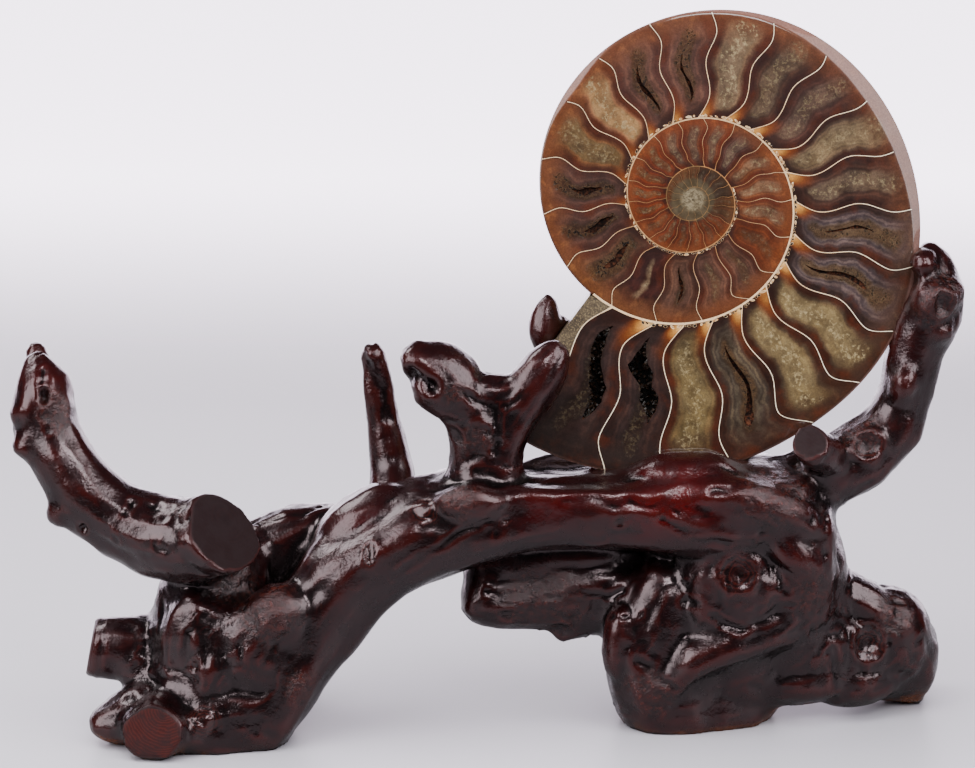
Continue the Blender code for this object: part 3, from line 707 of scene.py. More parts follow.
# Each septum, from the mouth inward: where its foot stands on the spiral, and how far it
# swings back at its first lobe, at its second lobe and at the rim, all in degrees. Then
# comes what fills the chamber behind it.
SEPTA = [
    (-127, -4, -2.5, 0, "smoky hollow"),
    (-106.5, -9, -5, -1.5, "smoky hollow"),
    (-93.5, -7, -4, -3, "honey crystals"),
    (-80, -5.5, -3.5, -1.5, "olive agate"),
    (-65, -4.5, -3, 3.5, "olive crystals"),
    (-49.5, -4.5, -2.5, 2, "olive crystals"),
    (-33, -5, -3.5, 0, "lilac agate"),
    (-18, -4.5, -1.5, 1.5, "lilac agate"),
    (-0.5, -5, -3, -1.5, "brown and cream"),
    (16.5, -5, -3.5, -2.5, "olive lens"),
    (32.5, -6, -3.5, -2, "rust and violet"),
    (51, -7, -5, -2.5, "rust and olive"),
    (68.5, -6.5, -5, -2.5, "cream crystals"),
    (86, -5, -4, -1.5, "drusy brown"),
    (105, -4, -3.5, -1, "drusy brown"),
    (126, -5, -4.5, -2, "white crystals"),
    (147.5, -6.5, -7, -4.5, "rust lens"),
    (167.5, -5.5, -5, -2.5, "drusy violet"),
    (185, -2.5, -1.5, 0.5, "drusy violet"),
    (204.5, -1.5, 0.5, 3.5, "drusy rust"),
    (232.5, -5.5, -4, 0, "cream slit"),
    (253, -5.5, -3, 0.5, "dark slit"),
    (276.5, -6, -4.5, -2, "mauve slit"),
    (296.5, -2.5, -4, 3, "mauve slit"),
    (317, -3, -3, 1, "rust grain"),
    (335.5, 2.5, 1, 3.5, "rust and cream"),
    (359.5, -2, -1, 0.5, "rust and cream"),
    (377, -0.5, 1.5, -0.5, "rust and cream"),
    (394.5, 3, 3.5, 5, "rust and violet"),
    (413, 4.5, 6.5, 8, "rust and mauve"),
    (430.5, 6, 8, 12, "rust and mauve"),
    (448.5, 9, 10, 12.5, "rust and mauve"),
    (470.5, 7, 9.5, 11, "rust crystals"),
    (492, 7, 9.5, 11.5, "rust crystals"),
    (515.5, 4.5, 6.5, 8, "rust crystals"),
    (536.5, 3.5, 5, 5.5, "rust crystals"),
    (557.5, 2.5, 4.5, 4, "rust grain"),
    (580, 3, 3, 2, "rust crystals"),
    (597, 4, 6.5, 5, "rust grain"),
    (619.5, 3, 5.5, 3.5, "rust grain"),
    (638.5, 3.5, 6.5, 7.5, "rust grain"),
    (659, 4, 7, 8.5, "rust grain"),
    (679.5, 2, 6, 7, "brown heart"),
    (699, 5, 10, 11, "brown heart"),
    (717, 4, 7, 8, "olive heart"),
    (735, 4, 7, 8, "olive heart"),
    (753, 4, 7, 8, "olive heart"),
    (772, 4, 7, 8, "olive heart"),
    (791, 4, 7, 8, "brown heart"),
    (811, 4, 6, 7, "brown heart"),
    (831, 4, 6, 7, "brown heart"),
    (852, 3, 5, 6, "brown heart"),
    (873, 3, 5, 6, "brown heart"),
    (895, 3, 5, 6, "grey heart"),
    (918, 3, 5, 6, "grey heart"),
    (941, 3, 5, 6, "brown heart"),
]
SPIRAL_END = 1180.0        # where the spiral is lost in the first chamber
LAST_SPACING = 26.0        # between the innermost septa, which are all alike
while SEPTA[-1][0] < SPIRAL_END:
    SEPTA.append((SEPTA[-1][0] + LAST_SPACING, 3.0, 4.0, 5.0, "brown heart"))
SADDLE_RISE = 3.2          # between its lobes a septum comes this many degrees forward


def septum_angle(number, along):
    """Angle of a septum at a share of the way from the whorl inside it to the rim."""
    foot, first_lobe, second_lobe, at_rim, _ = SEPTA[number]
    saddle = (first_lobe + second_lobe) / 2.0 + SADDLE_RISE
    stops = np.array([0.0, 0.2, 0.53, 0.79, 1.0])
    swings = np.array([0.0, first_lobe, saddle, second_lobe, at_rim])
    slopes = np.array([8.0 * first_lobe, 0.0, 0.0, 0.0, 4.3 * (at_rim - second_lobe)])
    place = np.clip(np.searchsorted(stops, along, side="right") - 1, 0, 3)
    run = stops[place + 1] - stops[place]
    part = (along - stops[place]) / run
    late = part * part * (3.0 - 2.0 * part)
    swing = swings[place] * (1.0 - late) + swings[place + 1] * late
    swing = swing + run * slopes[place] * part * (1.0 - part) ** 2
    return foot + swing - run * slopes[place + 1] * part * part * (1.0 - part)


# Openings where crystals never closed a chamber. Each line across one gives the share of
# the way out to the rim, its two edges as shares across the chamber, and its depth in mm.
OPENINGS = {
    0: ((0.11, 0.42, 0.46, 1), (0.17, 0.4, 0.54, 4), (0.23, 0.4, 0.62, 6),
        (0.34, 0.38, 0.68, 6.6), (0.46, 0.44, 0.72, 6.6), (0.58, 0.57, 0.77, 6),
        (0.66, 0.66, 0.76, 4), (0.72, 0.7, 0.71, 1)),
    1: ((0.1, 0.36, 0.38, 1), (0.18, 0.4, 0.55, 4), (0.25, 0.34, 0.64, 6),
        (0.3, 0.19, 0.68, 6.6), (0.36, 0.31, 0.7, 6.6), (0.44, 0.37, 0.73, 6.4),
        (0.52, 0.43, 0.74, 6), (0.59, 0.56, 0.72, 4), (0.65, 0.67, 0.69, 1)),
    3: ((0.2, 0.49, 0.51, 0.5), (0.3, 0.47, 0.53, 1.2), (0.45, 0.46, 0.54, 1.6),
        (0.6, 0.46, 0.55, 1.6), (0.72, 0.42, 0.6, 1.2), (0.79, 0.46, 0.54, 0.5)),
    6: ((0.16, 0.51, 0.52, 0.4), (0.28, 0.48, 0.54, 1), (0.42, 0.46, 0.55, 1.2),
        (0.55, 0.44, 0.53, 1), (0.66, 0.46, 0.52, 0.4)),
    7: ((0.26, 0.5, 0.52, 0.3), (0.4, 0.48, 0.54, 0.8), (0.52, 0.49, 0.55, 0.8),
        (0.62, 0.51, 0.53, 0.3)),
    13: ((0.16, 0.49, 0.51, 0.3), (0.24, 0.42, 0.52, 1.3), (0.34, 0.44, 0.52, 1.1),
         (0.48, 0.5, 0.56, 0.9), (0.62, 0.52, 0.54, 0.3)),
    14: ((0.16, 0.46, 0.48, 0.3), (0.24, 0.43, 0.53, 1.6), (0.38, 0.44, 0.56, 1.6),
         (0.54, 0.46, 0.54, 0.9), (0.7, 0.5, 0.52, 0.3)),
    17: ((0.28, 0.48, 0.52, 0.5), (0.4, 0.4, 0.6, 1.5), (0.52, 0.44, 0.58, 1.5),
         (0.62, 0.5, 0.53, 0.5)),
    18: ((0.2, 0.44, 0.48, 0.5), (0.34, 0.38, 0.58, 1.6), (0.5, 0.42, 0.6, 1.6),
         (0.6, 0.48, 0.52, 0.5)),
    19: ((0.24, 0.44, 0.5, 0.4), (0.38, 0.4, 0.56, 1), (0.54, 0.4, 0.56, 1),
         (0.66, 0.46, 0.5, 0.4)),
    21: ((0.22, 0.46, 0.5, 0.4), (0.4, 0.44, 0.54, 1), (0.6, 0.46, 0.56, 1),
         (0.72, 0.5, 0.53, 0.4)),
}

# What fills a chamber: the colours of its lining, of the band inside that, of its core and
# of its outer tip, then where the core begins, and how strong its pits, veins and fine
# growth lines are.
FILLS = {
    "grey matrix": ((62, 49, 35), (80, 65, 48), (86, 70, 52), (64, 53, 40), 0.5, 0.2, 0.1, 0),
    "smoky hollow": ((42, 24, 20), (50, 34, 31), (28, 17, 15), (36, 24, 21), 0.72, 0.3, 0.2, 0.6),
    "honey crystals": ((58, 26, 12), (88, 72, 47), (98, 83, 54), (44, 12, 7), 0.55, 0.1, 0.7, 0.2),
    "olive agate": ((48, 25, 15), (74, 64, 52), (66, 49, 31), (47, 25, 17), 0.74, 0.8, 0.1, 1),
    "olive crystals": ((48, 21, 9), (73, 60, 44), (120, 103, 71), (51, 30, 19), 0.5, 0.1, 1, 0.3),
    "lilac agate": ((44, 29, 25), (78, 66, 66), (83, 66, 50), (66, 44, 35), 0.66, 0.8, 0.2, 1),
    "brown and cream": ((42, 21, 16), (58, 38, 31), (84, 68, 55), (78, 43, 26), 0.62, 0.2, 0.6, 0.6),
    "olive lens": ((48, 24, 17), (83, 67, 52), (105, 88, 65), (81, 46, 28), 0.52, 0.1, 0.4, 0.6),
    "rust and violet": ((50, 22, 15), (62, 38, 32), (80, 61, 51), (89, 47, 26), 0.6, 0.2, 0.4, 0.5),
    "rust and olive": ((45, 19, 14), (55, 35, 27), (80, 64, 51), (92, 50, 28), 0.58, 0.3, 0.5, 0.4),
    "cream crystals": ((54, 22, 14), (84, 64, 49), (104, 85, 66), (90, 48, 26), 0.45, 0.1, 0.8, 0.2),
    "drusy brown": ((64, 35, 29), (77, 51, 43), (61, 38, 26), (94, 53, 32), 0.66, 0.9, 0.1, 0.4),
    "white crystals": ((67, 29, 13), (105, 70, 49), (136, 105, 70), (97, 54, 29), 0.5, 0.2, 1, 0.1),
    "rust lens": ((61, 27, 14), (88, 56, 34), (95, 75, 48), (95, 53, 28), 0.5, 0.2, 0.5, 0.3),
    "drusy violet": ((61, 35, 29), (66, 44, 38), (45, 27, 20), (97, 54, 30), 0.62, 1, 0.1, 0.3),
    "drusy rust": ((67, 35, 25), (72, 47, 35), (66, 46, 31), (98, 56, 30), 0.55, 1, 0.5, 0.2),
    "cream slit": ((43, 16, 11), (47, 21, 17), (100, 82, 64), (97, 57, 33), 0.84, 0.2, 0.8, 0.2),
    "dark slit": ((58, 32, 23), (75, 51, 41), (49, 29, 18), (98, 57, 33), 0.8, 0.6, 0.1, 0.5),
    "mauve slit": ((60, 29, 20), (80, 53, 42), (74, 50, 36), (94, 50, 26), 0.74, 0.3, 0.3, 0.5),
    "rust and mauve": ((82, 32, 15), (84, 46, 29), (86, 62, 49), (98, 46, 22), 0.6, 0.2, 0.4, 0.3),
    "rust grain": ((76, 33, 15), (88, 42, 20), (90, 50, 27), (97, 48, 22), 0.66, 0.3, 0.15, 0.2),
    "rust and cream": ((77, 33, 17), (88, 50, 30), (104, 74, 54), (98, 50, 24), 0.62, 0.2, 0.5, 0.2),
    "rust crystals": ((78, 31, 14), (90, 38, 16), (95, 54, 30), (101, 50, 23), 0.6, 0.4, 0.45, 0.1),
    "olive heart": ((42, 28, 17), (49, 34, 24), (54, 40, 29), (52, 34, 22), 0.66, 0.2, 0.1, 0.1),
    "brown heart": ((62, 36, 19), (72, 44, 25), (74, 50, 30), (74, 46, 25), 0.66, 0.2, 0.1, 0.1),
    "first chamber": ((86, 75, 59), (102, 90, 70), (122, 108, 81), (86, 75, 59), 0.5, 0.6, 0.4, 0),
    "grey heart": ((56, 43, 32), (62, 50, 40), (68, 56, 45), (62, 49, 37), 0.66, 0.2, 0.1, 0.1),
}

ROWS = 44
AMBER_REACH = 0.092        # share of the whorl that the amber at a septum's foot reaches
MATRIX_COLUMNS = 22
MATRIX_INSET = 0.0035      # the matrix stops short of the rim by this share
out_share = np.linspace(0.0, 1.0, ROWS)
out_share = out_share - 0.06 * np.sin(2.0 * math.pi * out_share)


def inner_radius(angle):
    """Radius of the whorl inside, or of the first chamber."""
    return np.maximum(venter(angle + 360.0), HEART_RADIUS - 0.1)


def out_radius(angle):
    """Radius at each row of a column, from the whorl inside to the rim."""
    return inner_radius(angle) + (venter(angle) - inner_radius(angle)) * out_share


def shell_share(angle):
    """The shell wall at the rim, as a share of its whorl: thin round the outside."""
    wall = np.where(angle < OUTLINE_END, 0.35, 0.12 + 0.014 * venter(angle))
    return np.clip(wall / (venter(angle) - inner_radius(angle)), 0.0, 0.25)


def septum_half(number, along):
    """Half a septum's thickness: a hair, but spread where it grows out of a wall."""
    size = float(venter(SEPTA[number][0])) / 100.0
    flare = 1.6 * np.exp(-along / 0.035) + 0.5 * np.exp(-(1.0 - along) / 0.03)
    return (0.045 + 0.115 * size) * (1.0 + flare)


def chamber_sheet(number):
    """Shares across one chamber, and depths below the polish, for every row of it."""
    size = float(venter(SEPTA[number][0])) / 100.0
    count = int(10 + 22 * size)
    opening = OPENINGS.get(number)
    if opening is None:
        across = np.tile(np.linspace(0.0, 1.0, count), (ROWS, 1))
        return across, np.zeros_like(across)
    places, left, right, depth = np.array(opening).T
    across_rows = np.stack([out_share * 0.05, np.full(ROWS, number * 0.1), out_share * 0.0], axis=-1)
    ragged = field(across_rows, 0.0035) + 0.7 * field(across_rows, 0.0014, 2.0)
    open_here = (out_share > places[0]) & (out_share < places[-1])
    half = np.interp(out_share, places, (right - left) / 2.0)
    sway = 0.25 * half * field(across_rows, 0.0025, 5.0)
    middle = np.interp(out_share, places, (left + right) / 2.0) + sway
    half = half * np.maximum(0.25, 1.0 + 0.45 * ragged) * open_here
    depth = np.interp(out_share, places, depth) * open_here
    wall = np.array([1.0, 0.99, 0.97, 0.94, 0.9])
    wall_fall = np.array([0.0, 0.12, 0.4, 0.7, 0.92])
    spots = np.concatenate([-wall, np.linspace(-0.86, 0.86, 7), wall[::-1]])
    falls = np.concatenate([wall_fall, np.ones(7), wall_fall[::-1]])
    steps = np.linspace(0.0, 1.0, count // 2, endpoint=False)
    before = steps * (middle - half)[:, None]
    after = 1.0 - steps[::-1] * (1.0 - middle - half)[:, None]
    across = np.hstack([before, middle[:, None] + half[:, None] * spots, after])
    level = np.zeros((ROWS, count // 2))
    return across, np.hstack([level, depth[:, None] * falls, level])


# The sheet of the sawn face is laid inward from the mouth, column by column. Each point
# carries how near the chamber's wall it is and what that chamber holds.
columns = []
strips = []


def soft_least(*distances):
    """The least of some distances, rounded where two are alike."""
    return sum(np.maximum(distance, 1e-3) ** -3.0 for distance in distances) ** (-1.0 / 3.0)


def lay_column(angle, radius, fall, marks, fill, strip):
    """Adds a column of the face; strip says what lies between it and the next one."""
    outside = np.asarray(angle) < OUTLINE_END
    behind = fall + bevel_drop(angle, radius, venter(angle)) * outside
    turn = np.radians(angle)
    columns.append((radius * np.cos(turn), radius * np.sin(turn), behind, fall, marks, fill))
    strips.append(strip)


def lay_chamber(number):
    """The columns of one chamber, from its septum to the next one inward."""
    across, falls = chamber_sheet(number)
    start = septum_angle(number, out_share)
    end = septum_angle(number + 1, out_share)
    reach = out_radius(start)
    start = start + np.degrees(septum_half(number, out_share) / reach)
    end = end - np.degrees(septum_half(number + 1, out_share) / reach)
    half_breadth = np.radians(np.mean(end - start)) * np.mean(reach) / 2.0
    for column in range(across.shape[1]):
        share = across[:, column]
        angle = start + (end - start) * share
        length = venter(angle) - inner_radius(angle)
        radius = inner_radius(angle) + length * out_share * (1.0 - shell_share(angle))
        side = 1.0 - np.abs(2.0 * share - 1.0)
        wall = soft_least(side, 1.1 * length / half_breadth * out_share,
                          1.1 * length / half_breadth * (1.0 - out_share))
        amber = smooth(0.4, 1.0, share) * np.exp(-out_share / AMBER_REACH)
        marks = np.stack([wall, out_share, share, amber], axis=-1)
        lay_column(np.append(angle, angle[-1]), np.append(radius, venter(angle[-1])),
                   np.append(falls[:, column], 0.0), np.vstack([marks, marks[-1]]),
                   SEPTA[number][4], "chamber")
    strips[-1] = "septum"


tip = MOUTH_TIP[1] * np.exp(1j * math.radians(MOUTH_TIP[0]))
root = MOUTH_ROOT[1] * np.exp(1j * math.radians(MOUTH_ROOT[0]))
first_septum = septum_angle(0, out_share)
first_reach = out_radius(first_septum)
first_septum = first_septum - np.degrees(septum_half(0, out_share) / first_reach)
mouth_edge = root + (tip - root) * out_share
for share in np.linspace(0.0, 1.0, MATRIX_COLUMNS):
    spot = mouth_edge * (1.0 - share) + share * first_reach * np.exp(1j * np.radians(first_septum))
    radius = np.append(np.abs(spot) * (1.0 - MATRIX_INSET * out_share), np.abs(spot[-1]))
    angle = np.degrees(np.angle(np.append(spot, spot[-1])))
    marks = np.stack([np.full(ROWS + 1, min(share, 1.0 - share) * 2.0), np.append(out_share, 1.0),
                      np.full(ROWS + 1, share), np.zeros(ROWS + 1)], axis=-1)
    lay_column(angle, radius, np.zeros(ROWS + 1), marks, "grey matrix", "matrix")
strips[-1] = "septum"
for number in range(len(SEPTA) - 1):
    lay_chamber(number)

corner, far_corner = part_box("ammonite_half")
spiral_centre = np.array([far_corner.x - CENTRE_FROM_RIGHT, corner.y + CENTRE_FROM_FRONT,
                          far_corner.z - CENTRE_FROM_TOP])


def on_stand(across, up, behind):
    """Millimetres on the sawn plane and behind it, as places in the room."""
    return spiral_centre + np.stack([across, up * math.sin(LEAN) + behind * math.cos(LEAN),
                                     up * math.cos(LEAN) - behind * math.sin(LEAN)], axis=-1) / 1000.0


def whorl_profile(share):
    """Half thickness of one whorl, as a share of its radius, at a share of it."""
    climb = smooth(UMBILICAL_SEAM, UMBILICAL_SEAM + UMBILICAL_WALL, share)
    outward = np.clip((share - FLANK_CREST) / (1.0 - FLANK_CREST), 0.0, 1.0)
    side = UMBILICAL_THICKNESS + (FLANK_THICKNESS - UMBILICAL_THICKNESS) * climb
    return np.where(share < FLANK_CREST, side, FLANK_THICKNESS * np.sqrt(1.0 - outward ** 2.2))


def flank_height(angle, radius):
    """How far the unsawn outside stands behind the sawn face, with its faint ribs."""
    angle = np.where(angle > OUTLINE_END, angle - 360.0, angle)
    height = np.zeros_like(radius)
    for whorl in reversed(range(WHORLS_BEHIND)):
        rim = venter(angle + 360.0 * whorl)
        share = radius / rim
        wave = np.sin(np.radians(angle * RIBS_IN_A_TURN + RIB_SWEEP * share ** 2))
        ribs = RIB_HEIGHT * wave * smooth(0.5, 0.8, share)
        side = rim * (whorl_profile(np.minimum(share, 1.0)) + ribs * smooth(1.0, 0.93, share))
        innermost = whorl == WHORLS_BEHIND - 1
        height = np.where((share >= UMBILICAL_SEAM) | innermost, np.maximum(side, height), height)
    return height


def weld(mesh, sliver, gap=0.0):
    """Clears away edges shorter than a sliver and joins points closer than a gap."""
    draft = bmesh.new()
    draft.from_mesh(mesh)
    bmesh.ops.dissolve_degenerate(draft, edges=draft.edges, dist=sliver)
    if gap:
        bmesh.ops.remove_doubles(draft, verts=draft.verts, dist=gap)
    draft.to_mesh(mesh)
    draft.free()


# The outside of the shell closes the back, from the rim and the broken mouth to the hub.
WALL_STEPS = np.linspace(0.0, 1.0, 7)
BACK_RINGS = 1.0 - np.linspace(0.0, 1.0, 56)[1:] ** 1.25
SAWN, WALL, MATRIX, OUTSIDE, HOLLOW = range(5)
BAKE_SPAN = 230.0          # millimetres across one baked picture

# For each group of points: places, places in the baked picture, marks, how deep in a
# hollow and how far down the bevel they are, and what they are of.
sheet = [(on_stand(across, up, behind), np.stack([across, up], axis=-1) / BAKE_SPAN + 0.5,
          marks, fall, behind - fall, [fill] * len(across))
         for across, up, behind, fall, marks, fill in columns]
turns = np.unwrap([math.atan2(column[1][-1], column[0][-1]) for column in columns])
faces = []
face_slots = []
for column, strip in enumerate(strips[:-1]):
    here, there = column * (ROWS + 1), (column + 1) * (ROWS + 1)
    for row in range(ROWS):
        faces.append((here + row, here + row + 1, there + row + 1, there + row))
        on_rim = row == ROWS - 1 and turns[column] > math.radians(OUTLINE_END)
        on_bevel = sheet[column][4][row] > 0.02
        if strip == "matrix":
            slot = MATRIX
        elif (strip == "septum" and not on_bevel) or on_rim:
            slot = WALL
        else:
            inside = any(sheet[side][3][row:row + 2].max() > 0.0 for side in (column, column + 1))
            slot = HOLLOW if inside else SAWN
        face_slots.append(slot)

edge = [(index, ROWS) for index in range(len(columns)) if math.degrees(turns[index]) < OUTLINE_END]
edge += [(0, row) for row in range(ROWS)]
edge_across, edge_up, edge_behind = (np.array([columns[index][part][row] for index, row in edge])
                                     for part in range(3))
edge_turn = np.unwrap(np.arctan2(edge_up, edge_across))
edge_turn[-ROWS:] = np.arctan2(edge_up[-ROWS:], edge_across[-ROWS:])
edge_radius = np.hypot(edge_across, edge_up)


def back_at(radius):
    """How far behind the sawn face the back is at a radius, along each spoke."""
    return np.maximum(flank_height(np.degrees(edge_turn), radius), edge_behind + EDGE_DEPTH)


def ring_quads(near, far, count):
    """Faces between two closed rings of points that start at two numbers."""
    return [(near + index, near + (index + 1) % count, far + (index + 1) % count, far + index)
            for index in range(count)]


def add_ring(radius, turn, behind, unrolled, marks, fill):
    """Adds a ring of points round the hub; unrolled is its radius in the baked picture."""
    ways = np.array([np.cos(turn), np.sin(turn)])
    level = np.zeros(len(turn))
    sheet.append((on_stand(*(radius * ways), behind), (unrolled * ways).T / BAKE_SPAN + 0.5,
                  marks, level, level, [fill] * len(turn)))


wall_height = back_at(edge_radius) - edge_behind
back = [(edge_radius, edge_behind + wall_height * step) for step in WALL_STEPS]
for share in BACK_RINGS:
    radius = np.maximum(edge_radius * share, 0.02)
    back.append((radius, back_at(radius)))
back_radius, back_height = np.array(back).transpose(1, 0, 2)
run = np.hypot(np.diff(back_radius, axis=0), np.diff(back_height, axis=0))
out_from_hub = np.vstack([np.cumsum(run[::-1], axis=0)[::-1], np.zeros(len(edge))])
start = len(columns) * (ROWS + 1)
ring_count = len(edge)
for row in range(len(back)):
    marks = np.stack([np.full(ring_count, 0.5), back_radius[row] / 100.0,
                      edge_turn / 6.3, np.zeros(ring_count)], axis=-1)
    add_ring(back_radius[row], edge_turn, back_height[row], out_from_hub[row], marks, "grey matrix")
for row in range(len(back) - 1):
    for index in range(ring_count):
        following = (index + 1) % ring_count
        near, far = start + row * ring_count, start + (row + 1) * ring_count
        faces.append((near + index, far + index, far + following, near + following))
        broken = row < len(WALL_STEPS) - 1 and index >= ring_count - ROWS - 1
        face_slots.append(MATRIX if broken else OUTSIDE)

# The first chamber is a bead of grey grainy calcite in the middle.
BEAD_SIDES = 40
BEAD_RADIUS = HEART_RADIUS + 0.35
BEAD_RINGS = 7
BEAD_LIFT = 0.02           # millimetres proud of the polish
bead_turn = np.linspace(0.0, 2.0 * math.pi, BEAD_SIDES, endpoint=False)
start += len(back) * ring_count
for ring in range(BEAD_RINGS):
    radius = BEAD_RADIUS * (1.0 - ring / (BEAD_RINGS - 0.5))
    marks = np.tile((0.5 + 0.08 * ring, 0.5, 0.5, 0.0), (BEAD_SIDES, 1))
    add_ring(radius, bead_turn, -BEAD_LIFT, radius, marks, "first chamber")
    if ring:
        faces += ring_quads(start, start + BEAD_SIDES, BEAD_SIDES)
        face_slots += [SAWN] * BEAD_SIDES
        start += BEAD_SIDES

points, flat, marks, falls, drops, fills = zip(*sheet)
ammonite = bpy.data.meshes.new("ammonite_half_polished")
ammonite.from_pydata(np.vstack(points), [], faces)
ammonite.polygons.foreach_set("material_index", face_slots)
ammonite.shade_smooth()
store(ammonite, "place_in_chamber", np.vstack(marks))
store(ammonite, "hollow", np.concatenate(falls))
store(ammonite, "bevel", np.concatenate(drops))
store(ammonite, "reach", np.hypot(*((np.vstack(flat) - 0.5) * BAKE_SPAN / 100.0).T))
names = [name for group in fills for name in group]
for part, title in enumerate(("lining", "band", "core", "tip")):
    shades = {name: paint(*fill[part]) for name, fill in FILLS.items()}
    store(ammonite, title, np.array([shades[name] for name in names]))
store(ammonite, "texture", np.array([FILLS[name][4:8] for name in names]))
corners = np.zeros(len(ammonite.loops), np.int32)
ammonite.loops.foreach_get("vertex_index", corners)
ammonite.uv_layers.new(name="OFBake")
ammonite.uv_layers["OFBake"].data.foreach_set("uv", np.vstack(flat)[corners].astype(np.float32).ravel())
weld(ammonite, 0.000001, 0.000002)
ammonite.set_sharp_from_angle(angle=math.radians(32.0))


def polished_calcite():
    """Calcite in the chambers: dark lining, paler band, crystals at the core."""
    look = Shader("polished_ammonite")
    wall, along, side, amber = look.kept_four("place_in_chamber")
    core_edge, pits, veins, lines = look.kept_four("texture")
    reach = look.kept("reach")
    drift = look.grit(0.006, 3.0, 0.5)
    ragged = look.grit(0.0013, 4.0, 0.65)
    cloud = look.grit(0.0042, 3.0, 0.55, 0.4)
    smoke = look.grit(0.011, 2.0, 0.5)
    depth = wall + 0.44 * drift + 0.1 * ragged - 0.27
    past_core = depth - core_edge
    lining, band, core, tip = (look.kept(name, "Color") for name in ("lining", "band", "core", "tip"))
    look.base = look.mix(depth.rise(0.18, 0.4), lining, band)
    look.coat(past_core.rise(-0.13, 0.07), core)

    # Growth bands: a pale fringe, fine waves, then clouds and smoke in the stone.
    look.tint(0.5 * depth.rise(0.32, 0.4) * depth.rise(0.52, 0.42), (1.6, 1.5, 1.36))
    waves = look.maths("SINE", 34.0 * depth + 6.0 * drift).rise(-0.8, 1.0, 0.7)
    look.tint(waves * lines * depth.rise(1.0, 0.7), (0.52, 0.46, 0.52))
    patches = look.mix(cloud.rise(0.34, 0.66), (0.62, 0.58, 0.55), (1.32, 1.32, 1.3))
    look.tint(depth.rise(0.2, 0.6, 0.8, 0.35), patches)
    look.tint(0.8, look.mix(smoke.rise(0.36, 0.64), (0.66, 0.64, 0.66), (1.18, 1.14, 1.08)))
    bright_tip = look.mix(1.0, tip, (1.75, 1.9, 1.7), "MULTIPLY")
    outward = along + 0.3 * drift + 0.1 * ragged - 0.2
    sugar = look.grit(0.0034, 4.0, 0.6).rise(0.5, 0.7, 0.8)
    look.coat(outward.rise(0.66, 0.98, 0.92), look.mix(sugar, tip, bright_tip))

    # The core: white veins and sparks of crystal, brown crumbs, pits and rust.
    off_line = look.maths("ABSOLUTE", side + 0.9 * cloud - 0.95)
    vein = off_line.rise(0.045, 0.0, 0.6) * ragged.rise(0.4, 0.58)
    spark = ragged.rise(0.52, 0.68) * off_line.rise(0.34, 0.04, 0.85)
    vein = look.maths("MAXIMUM", vein, spark) * past_core.rise(-0.05, 0.15)
    look.coat(0.75 * vein * veins, paint(196, 176, 132))
    druse = past_core.rise(-0.1, 0.12) * pits
    look.coat(0.55 * druse, look.mix(ragged.rise(0.38, 0.64), paint(46, 26, 15), paint(98, 72, 46)))
    pit = look.grit(0.0013, 3.0, 0.65).rise(0.55, 0.61) * druse
    look.coat(pit, paint(16, 7, 4))
    rust = look.grit(0.008).rise(0.46, 0.68) * depth.rise(0.55, 0.15)
    look.coat(0.5 * rust, paint(84, 35, 15))
    look.coat(0.7 * along.rise(0.2, 0.05) * side.rise(0.85, 0.35), paint(30, 14, 10))

    # The thin amber calcite at a septum's foot, with painted light glowing through it.
    glow = amber * smoke.rise(0.3, 0.6, 1.25, 0.65) * reach.rise(0.12, 0.42)
    look.coat(glow.rise(0.03, 0.3, 0.9), paint(104, 50, 18))
    look.coat(glow.rise(0.22, 0.75), paint(190, 132, 62))
    look.coat(glow.rise(0.66, 1.0, 0.7), paint(232, 194, 132))

    # A dark line along each wall, the ground bevel, and a fine grain over all.
    look.coat(wall.rise(0.08, 0.0, 0.55), paint(40, 15, 8))
    ground = look.kept("bevel").rise(0.02, 0.35)
    look.coat(0.55 * ground, paint(142, 104, 96))
    grain = look.grit(0.0006, 2.0, 0.7).rise(0.35, 0.65)
    look.tint(1.0, look.mix(grain, (0.84, 0.83, 0.82), (1.14, 1.13, 1.12)))

    # The first chambers: an olive disc with a grey grainy bead in the middle.
    inward = reach + 0.01 * ragged - 0.005
    disc = look.mix(cloud.rise(0.35, 0.65), paint(60, 50, 34), paint(80, 68, 50))
    look.coat(inward.rise(0.084, 0.07, 0.9), disc)
    bead = look.mix(ragged.rise(0.38, 0.6), paint(84, 72, 54), paint(138, 124, 98))
    look.coat(inward.rise(0.052, 0.03), bead)
    relief = look.bump(0.3 * ragged * druse - 0.8 * pit, 0.0004)
    return look.finish(Roughness=drift.rise(0.3, 0.7, 0.46, 0.34), Normal=relief,
                       Specular_IOR_Level=0.25, Coat_Weight=1.0 - 0.6 * ground,
                       Coat_Roughness=0.03, Coat_IOR=1.5)


def shell_wall():
    """Septa and shell wall, sawn across: cream, browner towards the hub."""
    look = Shader("sawn_shell_wall")
    inward = look.kept("reach") + 0.16 * look.grit(0.005) - 0.08
    look.base = look.mix(inward.rise(0.16, 0.42), paint(158, 112, 70), paint(240, 204, 162))
    look.coat(inward.rise(0.45, 0.8), paint(253, 238, 212))
    look.coat(inward.rise(0.14, 0.1), paint(110, 84, 52))
    look.coat(look.grit(0.0011, 3.0, 0.6).rise(0.48, 0.68, 0.35), paint(176, 122, 76))
    return look.finish(Roughness=0.4, Specular_IOR_Level=0.25, Coat_Weight=1.0,
                       Coat_Roughness=0.03, Coat_IOR=1.5)


def grey_matrix():
    """Hardened sand in the mouth, grainy under its polish."""
    look = Shader("grainy_matrix")
    grains = look.grit(0.0006, 2.0, 0.7)
    look.base = look.mix(look.grit(0.006).rise(0.35, 0.65), paint(60, 47, 34), paint(86, 72, 54))
    look.coat(grains.rise(0.52, 0.62, 0.7), paint(134, 116, 84))
    look.coat(grains.rise(0.42, 0.34, 0.7), paint(36, 26, 17))
    return look.finish(Roughness=0.5, Normal=look.bump(grains, 0.0002, 0.4), Coat_Weight=0.6,
                       Coat_Roughness=0.15)


